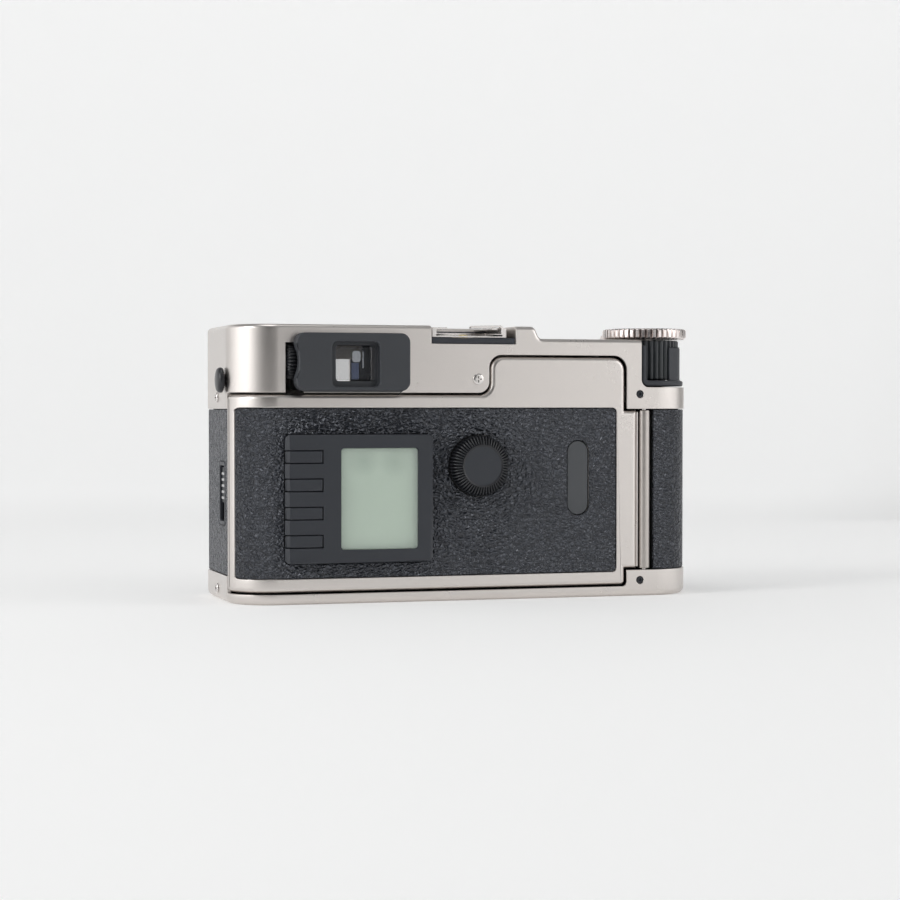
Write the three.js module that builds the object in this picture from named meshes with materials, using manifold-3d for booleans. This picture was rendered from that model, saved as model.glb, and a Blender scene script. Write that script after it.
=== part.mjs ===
// A 35 mm zoom compact camera with a hinged back, as an assembly of separate pieces.
// Millimetres, +Z up. +Y is the way the lens looks and +X is the holder's right hand.
// Pieces are laid out from the middle of the back face at the base: y = 0 is the back face of
// the body and z = 0 is its underside. The exported group then moves that frame to the middle
// of the object's box, on the ground.
import * as THREE from "three";
import { mergeVertices } from "three/addons/utils/BufferGeometryUtils.js";
import Module from "manifold-3d";

const wasm = await Module();
wasm.setup();

// ---- Driving dimensions ----
const WIDTH = 131.5;
const DEPTH = 40;
const HEIGHT = 74.5; // the high part of the top cover
const DECK = 71.2; // the lower deck under the dial
const HALF = WIDTH / 2;
const BACK_RADIUS = 12;
const FRONT_RADIUS = 3;
const WALL = 1.2;
const FIT = 0.3; // clearance between pieces that meet
const BIG = 200;

const LEATHER_LOW = 7.3; // the two edges where the leather meets the metal covers
const LEATHER_HIGH = 52;
const LEATHER_FACE = 0.25; // how far the leather lies inside the body's outline
const LEATHER_BACK = 1.2;

const DOOR_LOW = 3.2;
const DOOR_HIGH = 55.95;
const DOOR_RIGHT = 44.3;
const DOOR_WRAP = 10.2; // how far the door reaches round the left end
const LEATHER_WRAP = 6.7; // how far its leather reaches round
const DOOR_THICK = 2.2;
const DOOR_GAP = 0.38;
const LOBE_LEFT = 5; // the raised part of the door over the film cassette
const LOBE_HIGH = 66.3;
const EAR = { right: 47.8, low: 7.75, high: 51.6 };
const HINGE = { x: 50.5, y: 2.0, radius: 1.8, pin: 0.7, bore: 0.95 };
const HINGE_STRIP = 52.7; // where the leather starts, to the right of the hinge

const LENS = { x: -3, z: 29.65 };
const LENS_BORE = 18.6;
const RING_FRONT = 44;
const OUTER_BARREL = { radius: 18.2, bore: 16.1, back: 16, front: 46.4 };
const INNER_BARREL = { radius: 15.8, bore: 12, back: 18, front: 48.6 };

const CASSETTE = { x: 30.5, y: 17.5, radius: 13 };
const TAKE_UP = { x: -46, y: 18, radius: 12.5 };
const SPROCKET = { x: -27.5, y: 10.7, radius: 5.2 };
const FILM_PLANE = 6.5;
const GATE = { width: 36, height: 24 };
const BATTERY = { x: 53, y: 26, radius: 8.5 };

const COLUMN = { x: 54.6, y: 12 }; // the axis of the dial and the drum under it
const SPEED_DIAL = { radius: 11.8, low: 71.5, high: 74.45, teeth: 46 };
const DRUM = { radius: 9.6, low: 60.2, high: 71.15, ribs: 38 };
const NOTCH = { left: 49.1, low: 58.05, front: 23.5 };
const RELEASE = { x: 53, y: 31, radius: 4.2 };

const EYEPIECE = { left: -49.85, right: -18.7, low: 56.75, high: 72.15, back: -4 };
const EYE_WINDOW = { left: -40.1, right: -27.2, low: 57.9, high: 69.7 };
const WHEEL = { x: -50, y: 3.6, z: 64.6, radius: 4.8, width: 3, teeth: 30 };

const SHOE = { left: -11.75, right: 12.2, floor: 69.6, front: 22, base: 71.2, rails: 71.45 };
const SHOE_X = (SHOE.left + SHOE.right) / 2;

const BEZEL = { left: -52.2, right: -11.75, low: 10.9, high: 45.2, back: -1.2, front: 1.9 };
const LCD = { left: -37.1, right: -15.75, low: 14.5, high: 41.5 };
const BUTTON = { left: -52.05, right: -42.15, height: 3.2, z: [39.27, 31.8, 24.3, 16.85] };
const BACK_DIAL = { x: 1.5, z: 36.6, radius: 8.2, face: 5.75, back: -4.2, teeth: 56 };
const FILM_WINDOW = { x: 30.35, z: 33.05, radius: 3.05, length: 20.4 };

const LATCH = { y0: 13.7, y1: 21.6, z0: 20.7, z1: 37.8 };
const SLOT = { y0: 14.6, y1: 20.7, z0: 21.8, z1: 36.7 };
const STUD_LEFT = { y: 13.3, z: 59.7 };
const STUD_RIGHT = { y: 31, z: 59.7 };
const STUD_REACH = 2.3;
const SIDE_SCREW = { y: 23.2, high: 55.1, low: 3.2 };
const TRIPOD = { x: -3, y: 20, radius: 6.5, bore: 3.175 };
const BATTERY_CAP = 9.2;

// ---- Materials ----
const finish = (color, metalness, roughness) =>
  new THREE.MeshStandardMaterial({ color, metalness, roughness });
const CHAMPAGNE = finish(0xb9b1aa, 0.85, 0.42);
const STEEL = finish(0xc9c4bd, 0.95, 0.25);
const BLACK_PLASTIC = finish(0x2b2d32, 0, 0.5);
const DARK_FRAME = finish(0x17181a, 0, 0.7);
const LEATHER = finish(0x24262b, 0, 0.6);
const SMOKED = finish(0x3c4046, 0, 0.15);
const CLEAR = finish(0xaebccd, 0, 0.05);
const LCD_GREEN = finish(0xb0c0b2, 0, 0.3);
const BRASS = finish(0xb49a5e, 0.9, 0.35);
const BOARD = finish(0x2d5a3c, 0, 0.5);

// ---- Shapes ----

// A closed outline through [x, y, radius] corners, where a radius rounds the corner.
function outline(corners) {
  const points = [];
  corners.forEach(([x, y, radius = 0], i) => {
    const corner = new THREE.Vector2(x, y);
    if (!radius) {
      points.push(corner);
      return;
    }
    const towards = (step) => {
      const [nx, ny] = corners.at((i + step) % corners.length);
      return new THREE.Vector2(nx, ny).sub(corner).normalize();
    };
    const back = towards(-1);
    const on = towards(1);
    const half = Math.acos(back.dot(on)) / 2;
    const centre = back.clone().add(on).setLength(radius / Math.sin(half)).add(corner);
    const start = back.setLength(radius / Math.tan(half)).add(corner);
    const end = on.setLength(radius / Math.tan(half)).add(corner);
    const steps = Math.max(2, Math.round(4 * Math.sqrt(radius)));
    for (let k = 0; k <= steps; k++) {
      const spoke = start.clone().lerp(end, k / steps).sub(centre).setLength(radius);
      points.push(spoke.add(centre));
    }
  });
  return new THREE.Shape(points);
}

const rectangle = (x0, y0, x1, y1, radius = 0) =>
  outline([[x0, y0, radius], [x1, y0, radius], [x1, y1, radius], [x0, y1, radius]]);

function circle(x, y, radius) {
  const steps = 4 * Math.ceil(2.2 * Math.sqrt(radius) + 0.5);
  const points = [];
  for (let k = 0; k < steps; k++) {
    const angle = (2 * Math.PI * k) / steps;
    points.push(new THREE.Vector2(x + radius * Math.cos(angle), y + radius * Math.sin(angle)));
  }
  return new THREE.Shape(points);
}

// A wheel's outline with flat-topped teeth, each taking up a share of its pitch.
function toothed(teeth, tip, root, share = 0.5) {
  const points = [];
  const pitch = (2 * Math.PI) / teeth;
  const flank = 0.12 * pitch;
  for (let i = 0; i < teeth; i++) {
    const start = i * pitch;
    const end = start + share * pitch;
    const steps = [[start, root], [start + flank, tip], [end - flank, tip], [end, root]];
    steps.forEach(([angle, radius]) => {
      points.push(new THREE.Vector2(radius * Math.cos(angle), radius * Math.sin(angle)));
    });
  }
  return new THREE.Shape(points);
}

// ---- Solids ----

function solid(geometry) {
  const bare = new THREE.BufferGeometry();
  bare.setAttribute("position", geometry.getAttribute("position").clone());
  if (geometry.index) bare.setIndex(geometry.index.clone());
  const merged = mergeVertices(bare, 1e-4);
  const mesh = new wasm.Mesh({
    numProp: 3,
    vertProperties: merged.attributes.position.array,
    triVerts: new Uint32Array(merged.index.array),
  });
  return new wasm.Manifold(mesh);
}

function extruded(shape, low, high, turn) {
  const settings = { depth: high - low, bevelEnabled: false };
  const geometry = new THREE.ExtrudeGeometry(shape, settings);
  geometry.translate(0, 0, low);
  if (turn) geometry.applyMatrix4(turn);
  return solid(geometry);
}

const X = new THREE.Vector3(1, 0, 0);
const Y = new THREE.Vector3(0, 1, 0);
const Z = new THREE.Vector3(0, 0, 1);
const FACING_BACK = new THREE.Matrix4().makeBasis(X, Z, Y.clone().negate());
const FACING_SIDE = new THREE.Matrix4().makeBasis(Y, Z, X);

// Prisms: an (x, y) outline along Z, an (x, z) outline along Y, and a (y, z) outline along X.
const prismZ = (shape, z0, z1) => extruded(shape, z0, z1);
const prismY = (shape, y0, y1) => extruded(shape, -y1, -y0, FACING_BACK);
const prismX = (shape, x0, x1) => extruded(shape, x0, x1, FACING_SIDE);
const box = (x0, x1, y0, y1, z0, z1) => prismZ(rectangle(x0, y0, x1, y1), z0, z1);
const union = (first, ...others) => others.reduce((sum, other) => sum.add(other), first);
const cut = (first, ...others) => others.reduce((rest, other) => rest.subtract(other), first);

// A turned piece about the local Y axis, from [radius, y] points.
function turned(profile, segments = 32) {
  const points = profile.map(([radius, y]) => new THREE.Vector2(radius, y));
  return solid(new THREE.LatheGeometry(points, segments));
}

// A tube about the local Y axis.
const tube = (inner, outer, y0, y1, segments) =>
  turned([[inner, y0], [outer, y0], [outer, y1], [inner, y1], [inner, y0]], segments);

// ---- Scene ----
const camera = new THREE.Group();

function add(name, body, material, place = {}) {
  const { vertProperties, triVerts } = body.getMesh();
  const geometry = new THREE.BufferGeometry();
  geometry.setAttribute("position", new THREE.BufferAttribute(vertProperties, 3));
  geometry.setIndex(new THREE.BufferAttribute(triVerts, 1));
  geometry.computeVertexNormals();
  const mesh = new THREE.Mesh(geometry, material);
  mesh.name = name;
  if (place.at) mesh.position.set(...place.at);
  if (place.turn) mesh.rotation.set(...place.turn);
  camera.add(mesh);
  return mesh;
}

const UPRIGHT = [Math.PI / 2, 0, 0]; // local Y becomes +Z
const FACES_BACK = [0, 0, Math.PI]; // local Y becomes -Y
const FACES_LEFT = [0, 0, Math.PI / 2]; // local Y becomes -X
const FACES_RIGHT = [0, 0, -Math.PI / 2]; // local Y becomes +X

// ---- Outlines that several pieces share ----

// The body seen from above, drawn in by an inset.
const plan = (inset) =>
  outline([
    [-HALF + inset, inset, BACK_RADIUS - inset],
    [HALF - inset, inset, BACK_RADIUS - inset],
    [HALF - inset, DEPTH - inset, Math.max(FRONT_RADIUS - inset, 0.2)],
    [-HALF + inset, DEPTH - inset, Math.max(FRONT_RADIUS - inset, 0.2)],
  ]);

// The wall between two insets of the plan.
const wall = (outer, inner, z0, z1) => cut(prismZ(plan(outer), z0, z1), prismZ(plan(inner), z0 - 1, z1 + 1));

// The back door seen from behind, grown by a gap.
const doorOutline = (gap) =>
  outline([
    [-HALF - 5, DOOR_LOW - gap],
    [DOOR_RIGHT + gap, DOOR_LOW - gap, 1.2],
    [DOOR_RIGHT + gap, EAR.low - gap],
    [EAR.right + gap, EAR.low - gap],
    [EAR.right + gap, EAR.high + gap],
    [DOOR_RIGHT + gap, EAR.high + gap],
    [DOOR_RIGHT + gap, LOBE_HIGH + gap, 3.8],
    [LOBE_LEFT - gap, LOBE_HIGH + gap, 3.5],
    [LOBE_LEFT - gap, DOOR_HIGH + gap, 3],
    [-HALF - 5, DOOR_HIGH + gap],
  ]);

// The top cover seen from behind, lowered by a drop: a high part, a step and the deck.
const topOutline = (drop) =>
  outline([
    [-BIG, 0],
    [BIG, 0],
    [BIG, DECK - drop],
    [19.2 - drop / 2, DECK - drop, 1.4],
    [17.8 - drop / 2, HEIGHT - drop, 1.8],
    [-BIG, HEIGHT - drop],
  ]);

const doorway = () => prismY(doorOutline(DOOR_GAP), -5, DOOR_WRAP + 0.3);
const filmWindowOutline = (gap) =>
  rectangle(
    FILM_WINDOW.x - FILM_WINDOW.radius - gap,
    FILM_WINDOW.z - FILM_WINDOW.length / 2 - gap,
    FILM_WINDOW.x + FILM_WINDOW.radius + gap,
    FILM_WINDOW.z + FILM_WINDOW.length / 2 + gap,
    FILM_WINDOW.radius + gap - 0.01,
  );
const bezelOutline = (gap) =>
  rectangle(BEZEL.left - gap, BEZEL.low - gap, BEZEL.right + gap, BEZEL.high + gap, 1.4 + gap);

// ---- Covers and casing ----

function topCover() {
  const outer = prismZ(plan(0), LEATHER_HIGH, HEIGHT + 1).intersect(prismY(topOutline(0), -5, DEPTH + 5));
  const pocketWall = WALL;
  const hollow = cut(
    prismZ(plan(WALL), LEATHER_HIGH - 1, HEIGHT + 1).intersect(prismY(topOutline(WALL), -5, DEPTH + 5)),
    box(SHOE.left - pocketWall, SHOE.right + pocketWall, -5, SHOE.front + pocketWall, SHOE.floor - WALL, BIG),
  );
  const notch = outline([
    [NOTCH.left, NOTCH.low, 2],
    [BIG, NOTCH.low],
    [BIG, BIG],
    [NOTCH.left, BIG],
  ]);
  const eyeHole = rectangle(-47.3, 58.2, -20.7, 70.8, 1);
  const hole = (x, z, radius) => prismY(circle(x, z, radius), -5, WALL + 1);
  const sideHole = (x) => prismX(circle(SIDE_SCREW.y, SIDE_SCREW.high, 1.05), x - 2, x + 2);
  return cut(
    outer,
    hollow,
    doorway(),
    box(SHOE.left, SHOE.right, -5, SHOE.front, SHOE.floor, BIG),
    prismY(notch, -5, NOTCH.front),
    prismZ(circle(COLUMN.x, COLUMN.y, 10.05), DECK - 3, DECK + 3),
    prismY(eyeHole, -5, 5),
    box(-51.9, -47, -5, 5, DOOR_HIGH, 69.6),
    hole(1.44, 60.04, 1.1),
    hole(48.6, 56.1, 1.1),
    prismY(rectangle(-41.5, 58.5, -24.5, 69.5, 1), DEPTH - 3, DEPTH + 3),
    prismY(rectangle(-61, 58, -46, 69.5, 1), DEPTH - 3, DEPTH + 3),
    prismY(rectangle(-19, 59, -5, 68.5, 1), DEPTH - 3, DEPTH + 3),
    prismZ(circle(RELEASE.x, RELEASE.y, RELEASE.radius + 0.35), DECK - 3, DECK + 3),
    sideHole(-HALF),
    sideHole(HALF),
  );
}

function bottomCover() {
  const tray = cut(prismZ(plan(0), 0, LEATHER_LOW), prismZ(plan(WALL), WALL, LEATHER_LOW + 1));
  const sideHole = (x) => prismX(circle(SIDE_SCREW.y, SIDE_SCREW.low, 1.05), x - 2, x + 2);
  return cut(
    tray,
    doorway(),
    prismZ(circle(BATTERY.x, BATTERY.y, BATTERY_CAP + FIT), -1, WALL + 1),
    prismZ(circle(TRIPOD.x, TRIPOD.y, TRIPOD.radius + FIT), -1, WALL + 1),
    prismY(circle(48.65, 4.43, 1.1), -5, WALL + 1),
    sideHole(-HALF),
    sideHole(HALF),
  );
}

// Everything behind and beside the door's opening, from the left seam to the hinge.
const behindDoor = () => box(-BIG, HINGE_STRIP, -5, DOOR_WRAP + FIT, -BIG, BIG);

const lensHole = (radius) => prismY(circle(LENS.x, LENS.z, radius), DEPTH - 8, DEPTH + 8);

function bodyShell() {
  const latchHole = prismX(rectangle(SLOT.y0, SLOT.z0, SLOT.y1, SLOT.z1), -HALF, -HALF + 1.2);
  return cut(wall(1.55, 2.6, 4.7, 53.9), behindDoor(), lensHole(21.9), latchHole);
}

function bodyLeather() {
  const skin = wall(LEATHER_FACE, LEATHER_BACK, LEATHER_LOW + 0.15, LEATHER_HIGH - 0.15);
  const latchHole = rectangle(LATCH.y0 - 0.15, LATCH.z0 - 0.15, LATCH.y1 + 0.15, LATCH.z1 + 0.15, 1.2);
  return cut(skin, behindDoor(), lensHole(22.2), prismX(latchHole, -HALF - 3, -HALF + 3));
}

// The inner frame: film chambers, film gate with its four rails, lens tunnel and battery well.
function chassis() {
  const block = union(
    prismZ(plan(2.9), 1.9, 51.5),
    box(3.5, 42.8, FILM_PLANE, 32, 51, 65.8),
  );
  const chamber = ({ x, y, radius }, low, high) =>
    union(
      prismZ(circle(x, y, radius), low, high),
      box(x - radius, x + radius, -5, y, low, high),
    );
  const rails = [12.4, -13.4, 17.2, -18.2].map((z) =>
    box(LENS.x - GATE.width / 2 - 2, LENS.x + GATE.width / 2, FILM_PLANE - 0.8, 8, LENS.z + z, LENS.z + z + 1),
  );
  const frame = cut(
    block,
    box(-BIG, BIG, -5, FILM_PLANE, -BIG, BIG),
    chamber(CASSETTE, 4.5, 52),
    box(18, 41.5, -5, 26, 51, 66),
    chamber(TAKE_UP, 4.5, 49.5),
    chamber(SPROCKET, 5.5, 49.5),
    box(
      LENS.x - GATE.width / 2,
      LENS.x + GATE.width / 2,
      0,
      15,
      LENS.z - GATE.height / 2,
      LENS.z + GATE.height / 2,
    ),
    prismY(circle(LENS.x, LENS.z, LENS_BORE), 14.5, DEPTH),
    prismZ(circle(BATTERY.x, BATTERY.y, BATTERY.radius + 0.4), -5, 38),
    prismZ(circle(TRIPOD.x, TRIPOD.y, TRIPOD.radius + FIT), -5, 6),
  );
  return union(frame, ...rails);
}

// The black cradle that the drum turns in, with the smooth shield over its right side.
function dialCradle() {
  const column = (radius, low) => prismZ(circle(COLUMN.x, COLUMN.y, radius), low, BIG);
  const open = outline([[NOTCH.left + 1.5, 59.9, 1], [BIG, 59.9], [BIG, BIG], [NOTCH.left + 1.5, BIG]]);
  const block = prismZ(plan(FIT), NOTCH.low + FIT, DECK - WALL - FIT).intersect(
    box(DOOR_RIGHT + DOOR_GAP + FIT, HALF, 0.3, NOTCH.front - FIT, 0, BIG),
  );
  const corner = [NOTCH.left + FIT, NOTCH.low + FIT, 1.8];
  const inWall = union(
    prismY(outline([corner, [BIG, NOTCH.low + FIT], [BIG, BIG], [NOTCH.left + FIT, BIG]]), 0, BIG),
    box(0, BIG, WALL + FIT, BIG, 0, BIG),
  );
  const frame = cut(block.intersect(inWall), prismY(open, -5, 21.9), column(10.05, 59.9));
  const sector = prismZ(
    outline([
      [COLUMN.x, COLUMN.y],
      [COLUMN.x + 20 * Math.sin(0.38), COLUMN.y - 20 * Math.cos(0.38)],
      [COLUMN.x + 30, COLUMN.y - 20],
      [COLUMN.x + 20 * Math.sin(1.92), COLUMN.y - 20 * Math.cos(1.92)],
    ]),
    59.5,
    69.3);
  const shield = cut(column(10.05, 59), column(DRUM.radius + 0.12, 58)).intersect(sector);
  return union(frame, shield);
}

add("top_cover", topCover(), CHAMPAGNE);
add("bottom_cover", bottomCover(), CHAMPAGNE);
add("body_shell", bodyShell(), DARK_FRAME);
add("body_leather", bodyLeather(), LEATHER);
add("chassis", chassis(), DARK_FRAME);
add("dial_cradle", dialCradle(), BLACK_PLASTIC);

// ---- Viewfinder ----

function eyepieceHousing() {
  const { left, right, low, high, back } = EYEPIECE;
  const face = prismY(rectangle(left, low, right, high, 2.4), back, -0.05);
  const neck = prismY(rectangle(-47, 58.5, -21, 70.5, 1), -1, 3);
  const flange = prismY(outline([[-47, 56.45], [-20.6, 56.45], [-19.3, 57.6], [-19.3, 60], [-47, 60]]), -1.3, -0.05);
  const window = rectangle(EYE_WINDOW.left, EYE_WINDOW.low, EYE_WINDOW.right, EYE_WINDOW.high, 1.3);
  const inner = rectangle(-38.6, 59.4, -27.9, 68.9, 0.8);
  return cut(
    union(face, neck, flange),
    prismY(window, back - 1, -1.4),
    prismY(inner, back - 1, 5),
    prismY(circle(-64.1, WHEEL.z, 15), back - 1, 0),
    prismX(circle(WHEEL.y, WHEEL.z, WHEEL.radius + 0.4), -60, WHEEL.x + WHEEL.width / 2 + 0.3),
  );
}

function viewfinderTube() {
  return cut(box(-42.5, -23.5, 3.6, 36.6, 57.3, 70.7), box(-41, -25, 3, 37, 58.8, 69.2));
}

add("eyepiece_housing", eyepieceHousing(), BLACK_PLASTIC);
add("eyepiece_lens", prismY(rectangle(-38.3, 59.7, -28.2, 68.6, 0.6), 0.6, 2.2), CLEAR);
add("viewfinder_tube", viewfinderTube(), DARK_FRAME);
add("viewfinder_window", prismY(rectangle(-41.2, 58.8, -24.8, 69.2, 0.8), DEPTH - 2, DEPTH - 0.4), CLEAR);
add("flash_reflector", cut(box(-60.5, -46.5, 30, 37, 58.5, 69), box(-59.5, -47.5, 31, 38, 59.5, 68)), STEEL);
add("flash_window", prismY(rectangle(-60.7, 58.3, -46.3, 69.2, 0.8), DEPTH - 1.7, DEPTH - 0.3), CLEAR);
add("autofocus_window", prismY(rectangle(-18.7, 59.3, -5.3, 68.2, 0.8), DEPTH - 1.7, DEPTH - 0.3), SMOKED);

// The wheel turns about X, and its rim stands out of the slot beside the eyepiece.
function diopterWheel() {
  return prismX(toothed(WHEEL.teeth, WHEEL.radius, WHEEL.radius - 0.5), -WHEEL.width / 2, WHEEL.width / 2);
}
add("diopter_wheel", diopterWheel(), BLACK_PLASTIC, { at: [WHEEL.x, WHEEL.y, WHEEL.z] });

// ---- Hot shoe ----

function shoeRails() {
  const section = outline([
    [-10.6, 0], [10.6, 0], [10.6, 2.7], [6.3, 2.7], [6.3, 2.1],
    [9.4, 2.1], [9.4, 0.4], [-9.4, 0.4], [-9.4, 2.1], [-6.3, 2.1],
    [-6.3, 2.7], [-10.6, 2.7],
  ]);
  const stop = box(-9.5, 9.5, 19, 19.6, 0.2, 1.75);
  return cut(union(prismY(section, 4, 20), stop), box(-4, 4, 6, 14, -1, 1));
}

// A sprung plate with two arms that lie along the rails. A finger stands up from the right arm and
// leans over the way in, until an accessory's foot pushes it down.
function shoeSpring() {
  const arms = cut(box(-9.1, 9.1, 2.3, 18.6, 0.7, 0.95), box(-6.5, 6.5, -1, 15.5, 0, 2));
  const finger = outline([
    [9.1, 0.75], [9.1, 2.9], [8.6, 3.35], [-0.2, 3.15], [-0.2, 2.45],
    [4.2, 2.45], [8.2, 2.85], [8.5, 2.5], [8.5, 0.75],
  ]);
  return union(arms, prismY(finger, 2.3, 3.7));
}

const shoeBase = cut(
  union(
    box(SHOE.left + 0.2, SHOE.right - 0.2, 0.25, SHOE.front - 0.25, SHOE.floor + 0.1, SHOE.base),
    box(SHOE.left + 0.2, SHOE.right - 0.2, 20.3, SHOE.front - 0.25, SHOE.floor + 0.1, 73.6),
  ),
  box(SHOE_X - 4.5, SHOE_X + 4.5, 5, 15, 70.7, 80),
);
const contact = prismZ(circle(0, 0, 1.4), 0, 1.5);
add("hot_shoe_base", shoeBase, BLACK_PLASTIC);
add("hot_shoe_rails", shoeRails(), STEEL, { at: [SHOE_X, 0, SHOE.rails] });
add("hot_shoe_spring", shoeSpring(), STEEL, { at: [SHOE_X, 0, SHOE.rails] });
add("hot_shoe_contact", contact, BRASS, { at: [SHOE_X, 10, 70.95] });

// ---- Dials and release ----

function speedDial() {
  const { radius, low, high, teeth } = SPEED_DIAL;
  return union(
    prismZ(toothed(teeth, radius, radius - 0.55, 0.62), low, high),
    prismZ(circle(0, 0, 2.4), 60.4, low + 0.1),
  );
}

function exposureDrum() {
  const ribbed = prismZ(toothed(DRUM.ribs, DRUM.radius, DRUM.radius - 0.6, 0.66), DRUM.low, DRUM.high);
  return cut(ribbed, prismZ(circle(0, 0, 2.9), DRUM.low - 1, DRUM.high + 1));
}

const columnAt = [COLUMN.x, COLUMN.y, 0];
add("speed_dial", speedDial(), STEEL, { at: columnAt });
add("exposure_drum", exposureDrum(), BLACK_PLASTIC, { at: columnAt });

const releaseAt = [RELEASE.x, RELEASE.y, 0];
const releaseProfile = [[0, 67.5], [2, 67.5], [2, 69.3], [RELEASE.radius, 69.3], [RELEASE.radius, 73], [3.6, 73.4], [0, 73.1]];
add("release_button", turned(releaseProfile, 28), STEEL, { at: releaseAt, turn: UPRIGHT });
add("release_collar", tube(RELEASE.radius + 0.3, 6, DECK + 0.05, DECK + 1, 28), CHAMPAGNE, { at: releaseAt, turn: UPRIGHT });

// ---- Fastenings, studs and base ----

// A pan-head screw that points along local -Y, with its head's underside at y = 0.
function screw(head, shank, length, height = 0.55) {
  const profile = [[0, -length], [shank, -length], [shank, 0], [head, 0.05], [head * 0.85, height * 0.8], [0, height]];
  return turned(profile, 16);
}

const strapStud = () =>
  turned([[0, 0], [1.7, 0], [1.6, 0.45], [3.2, 0.45], [3.4, 0.8], [3.4, 1.5], [2.9, STUD_REACH - 0.2], [0, STUD_REACH]], 24);

add("back_screw", screw(1.55, 0.9, 2.2, 0.4), STEEL, { at: [1.44, 0, 60.04], turn: FACES_BACK });
for (const [side, x, turn] of [["left", -HALF, FACES_LEFT], ["right", HALF, FACES_RIGHT]]) {
  add(`side_screw_upper_${side}`, screw(1.35, 0.85, 2.2), STEEL, { at: [x, SIDE_SCREW.y, SIDE_SCREW.high], turn });
  add(`side_screw_lower_${side}`, screw(1.35, 0.85, 2.2), STEEL, { at: [x, SIDE_SCREW.y, SIDE_SCREW.low], turn });
}
add("strap_stud_left", strapStud(), BLACK_PLASTIC, { at: [-HALF - 0.05, STUD_LEFT.y, STUD_LEFT.z], turn: FACES_LEFT });
add("strap_stud_right", strapStud(), BLACK_PLASTIC, { at: [HALF + 0.05, STUD_RIGHT.y, STUD_RIGHT.z], turn: FACES_RIGHT });
const setScrew = () => turned([[0, -1.1], [0.92, -1.1], [0.92, -0.15], [0.5, -0.15], [0, -0.5]], 12);
add("hinge_set_screw_upper", setScrew(), DARK_FRAME, { at: [48.6, 0, 56.1], turn: FACES_BACK });
add("hinge_set_screw_lower", setScrew(), DARK_FRAME, { at: [48.65, 0, 4.43], turn: FACES_BACK });

const socketProfile = [[TRIPOD.bore, 0.05], [TRIPOD.radius, 0.05], [TRIPOD.radius, 5.6], [0, 5.6], [0, 4.9], [TRIPOD.bore, 4.9], [TRIPOD.bore, 0.05]];
add("tripod_socket", turned(socketProfile, 28), STEEL, { at: [TRIPOD.x, TRIPOD.y, 0], turn: UPRIGHT });

// The battery's cap turns a quarter turn by the coin slot across it.
function batteryCap() {
  const slot = prismZ(rectangle(-6, -0.7, 6, 0.7, 0.6), -1, 0.75);
  return cut(prismZ(circle(0, 0, BATTERY_CAP), 0.05, 1.5), slot);
}
add("battery_cap", batteryCap(), STEEL, { at: [BATTERY.x, BATTERY.y, 0] });
const batteryProfile = [[0, 2], [BATTERY.radius, 2], [BATTERY.radius, 35], [3, 35], [3, 36.2], [0, 36.2]];
add("battery", turned(batteryProfile, 24), STEEL, { at: [BATTERY.x, BATTERY.y, 0], turn: UPRIGHT });
add("circuit_board", box(-59, 2, 12, 36, 54.2, 55.4), BOARD);

// ---- Lens ----

const lensAt = [LENS.x, 0, LENS.z];
function lensRing() {
  const bore = LENS_BORE - 0.1;
  return turned([
    [bore, DEPTH - 2.5], [21.5, DEPTH - 2.5], [21.5, DEPTH + 0.1], [25, DEPTH + 0.1],
    [25, RING_FRONT - 1.5], [23.6, RING_FRONT], [bore, RING_FRONT], [bore, DEPTH - 2.5],
  ], 48);
}
const frontLens = [[0, 43], [8, 43.3], [11.7, 44], [11.7, 45.2], [8, 46.3], [0, 46.9]];
const shutterUnit = tube(2.2, 11.7, 37, 39.5, 24);
add("lens_ring", lensRing(), BLACK_PLASTIC, { at: lensAt });
add("outer_barrel", tube(OUTER_BARREL.bore, OUTER_BARREL.radius, OUTER_BARREL.back, OUTER_BARREL.front, 48), BLACK_PLASTIC, { at: lensAt });
add("inner_barrel", tube(INNER_BARREL.bore, INNER_BARREL.radius, INNER_BARREL.back, INNER_BARREL.front, 40), BLACK_PLASTIC, { at: lensAt });
add("front_lens", turned(frontLens, 32), CLEAR, { at: lensAt });
add("shutter_unit", shutterUnit, DARK_FRAME, { at: lensAt });

// ---- Film transport ----

const spool = [[0, 5], [11, 5], [11, 6.2], [7, 6.2], [7, 47.8], [11, 47.8], [11, 49], [0, 49]];
const sprocket = [[0, 6], [4.6, 6], [4.6, 14], [3.4, 14], [3.4, 44.5], [4.6, 44.5], [4.6, 49], [0, 49]];
const fork = [[0, 49.8], [1.6, 49.8], [2.6, 51.5], [2.6, 60], [7, 60], [7, 62], [2.6, 62], [2.6, 65.5], [0, 65.5]];
add("take_up_spool", turned(spool, 24), BLACK_PLASTIC, { at: [TAKE_UP.x, TAKE_UP.y, 0], turn: UPRIGHT });
add("sprocket_shaft", turned(sprocket, 16), BLACK_PLASTIC, { at: [SPROCKET.x, SPROCKET.y, 0], turn: UPRIGHT });
add("rewind_fork", turned(fork, 16), BLACK_PLASTIC, { at: [CASSETTE.x, CASSETTE.y, 0], turn: UPRIGHT });

// ---- Latch on the left end ----

const latchPlate = cut(
  prismX(rectangle(LATCH.y0, LATCH.z0, LATCH.y1, LATCH.z1, 1.2), -HALF + 0.15, -HALF + 1.3),
  prismX(rectangle(SLOT.y0, SLOT.z0, SLOT.y1, SLOT.z1, 0.6), -HALF - 1, -HALF + 2),
);

function latchSlider() {
  const [y0, y1, z0, z1] = [SLOT.y0 + 0.2, SLOT.y1 - 0.2, SLOT.z1 - 10, SLOT.z1 - 0.4];
  const plate = box(-HALF + 0.75, -HALF + 1.25, y0, y1, z0, z1);
  const ridges = [0, 1, 2, 3, 4].map((i) =>
    box(-HALF + 0.2, -HALF + 0.9, y0, y0 + 3.4, z0 + 1 + i * 1.63, z0 + 1.7 + i * 1.63),
  );
  return union(plate, ...ridges);
}
add("latch_plate", latchPlate, BLACK_PLASTIC);
add("latch_slider", latchSlider(), BLACK_PLASTIC);

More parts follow.
